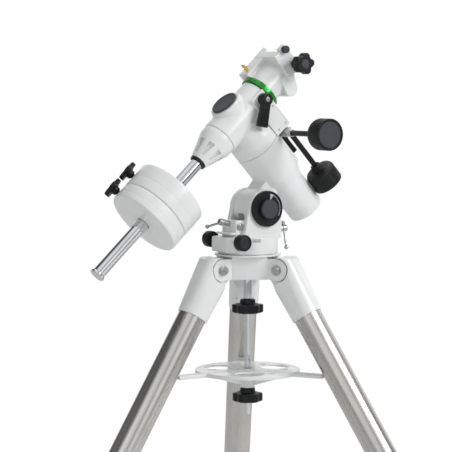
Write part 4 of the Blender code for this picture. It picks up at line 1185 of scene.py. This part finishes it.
def add_camera():
    back, right, up = view_axes()
    data = bpy.data.cameras.new("camera")
    data.sensor_width = 36.0
    data.lens = LENS
    data.clip_start = 0.1
    data.clip_end = 200.0
    camera = add_object("camera", data)
    shift_x, shift_y = VIEW_SHIFT
    offset = (back * VIEW_DISTANCE - right * shift_x - up * shift_y) * MM
    spin = Matrix((right, up, back)).transposed().to_4x4()
    camera.matrix_world = Matrix.Translation(HUB.to_translation() + offset) @ spin
    bpy.context.scene.camera = camera


def add_light(name, spot, energy, size):
    """An area light, spot metres back, right and up from the mount, which it faces."""
    back, right, up = view_axes()
    target = HUB.to_translation() + Vector((0, 0, 0.1))
    data = bpy.data.lights.new(name, "AREA")
    data.energy = energy
    data.size = size
    light = add_object(name, data)
    light.location = target + back * spot[0] + right * spot[1] + up * spot[2]
    light.rotation_mode = "QUATERNION"
    light.rotation_quaternion = (light.location - target).to_track_quat("Z", "Y")


def floor_material():
    """A pale floor that is lit partly by itself, so that it runs into the background."""
    made = bpy.data.materials.new("floor_white")
    made.use_nodes = True
    net = Nodes(made.node_tree)
    speck = net.noise(3.0, 2.0)
    shade_in = net.add("BsdfDiffuse", {
        "Color": net.blend(speck, (0.9, 0.9, 0.9, 1.0), (0.92, 0.92, 0.92, 1.0))})
    glow = net.add("Emission", {"Color": (1.0, 1.0, 1.0, 1.0), "Strength": 1.0})
    seen = net.add("LightPath").outputs["Is Camera Ray"]
    place = net.add("NewGeometry").outputs["Position"]
    away = net.add("VectorMath", {0: place}, operation="LENGTH").outputs["Value"]
    fade = net.span(away, 0.8, 1.0, FADE_START, FADE_END)
    share = net.add("Math", {0: seen, 1: fade}, operation="MULTIPLY")
    mixed = net.add("MixShader", {0: share.outputs[0], 1: shade_in.outputs[0],
                                  2: glow.outputs[0]})
    net.add("OutputMaterial", {"Surface": mixed.outputs[0]})
    return made


def sole_points():
    """Unseen points on the inner and outer edges of the soles, which follow the legs."""
    points = []
    reach = PIVOT_RADIUS + (HUB_HEIGHT + PIVOT_RISE) * math.tan(math.radians(LEG_SPLAY))
    for key, angle in LEG_TURNS.items():
        for edge in (-SOLE_HALF, SOLE_HALF):
            spot = HUB @ turn(angle, "Z") @ move(y=-reach - edge, z=-HUB_HEIGHT - 0.5)
            point = add_object(f"sole_{key}")
            point.parent = frame["bodies"][f"lower_leg_{key}"]
            point.location = spot.to_translation()
            points.append(point)
    return points


def add_floor():
    """A round floor that stays under the lowest foot when the legs fold or extend."""
    bm = bmesh.new()
    bmesh.ops.create_circle(bm, cap_ends=True, segments=96, radius=FLOOR_R)
    floor = add_object("floor", mesh_from(bm, "floor"))
    floor.data.materials.append(floor_material())
    follow = floor.driver_add("location", 2).driver
    follow.type = "MIN"
    for point in sole_points():
        height = follow.variables.new()
        height.type = "TRANSFORMS"
        height.targets[0].id = point
        height.targets[0].transform_type = "LOC_Z"


def add_world():
    """A white studio; reflections see brighter and darker screens from left to right."""
    world = bpy.data.worlds.new("studio")
    bpy.context.scene.world = world
    world.use_nodes = True
    net = Nodes(world.node_tree)
    right = view_axes()[1]
    direction = net.add("TexCoord").outputs["Generated"]
    across = net.add("VectorMath", {0: direction, 1: right},
                     operation="DOT_PRODUCT").outputs["Value"]
    place = net.span(across, 0.0, 1.0, -1.0, 1.0)
    ramp = net.add("ValToRGB", {"Fac": place})
    element = ramp.color_ramp.elements
    while len(element) < len(SCREENS):
        element.new(0.5)
    for item, (at, level) in zip(element, SCREENS):
        item.position = at
        item.color = (level, level, level, 1.0)
    path = net.add("LightPath")
    glossy = net.blend(path.outputs["Is Glossy Ray"], (0.44, 0.44, 0.436, 1.0),
                       ramp.outputs["Color"])
    seen = net.blend(path.outputs["Is Camera Ray"], glossy, (1.0, 1.0, 1.0, 1.0))
    background = net.add("Background", {"Color": seen, "Strength": 1.0})
    net.add("OutputWorld", {"Surface": background.outputs[0]})


def build_studio():
    bpy.context.scene.view_settings.view_transform = "Standard"
    add_camera()
    add_floor()
    add_world()
    add_light("key", (1.3, 2.2, 1.3), energy=42.0, size=1.3)
    add_light("top", (-0.4, 0.2, 2.4), energy=14.0, size=1.6)
    add_light("fill", (2.2, -1.6, 0.4), energy=4.0, size=1.6)


build_mount()
build_studio()
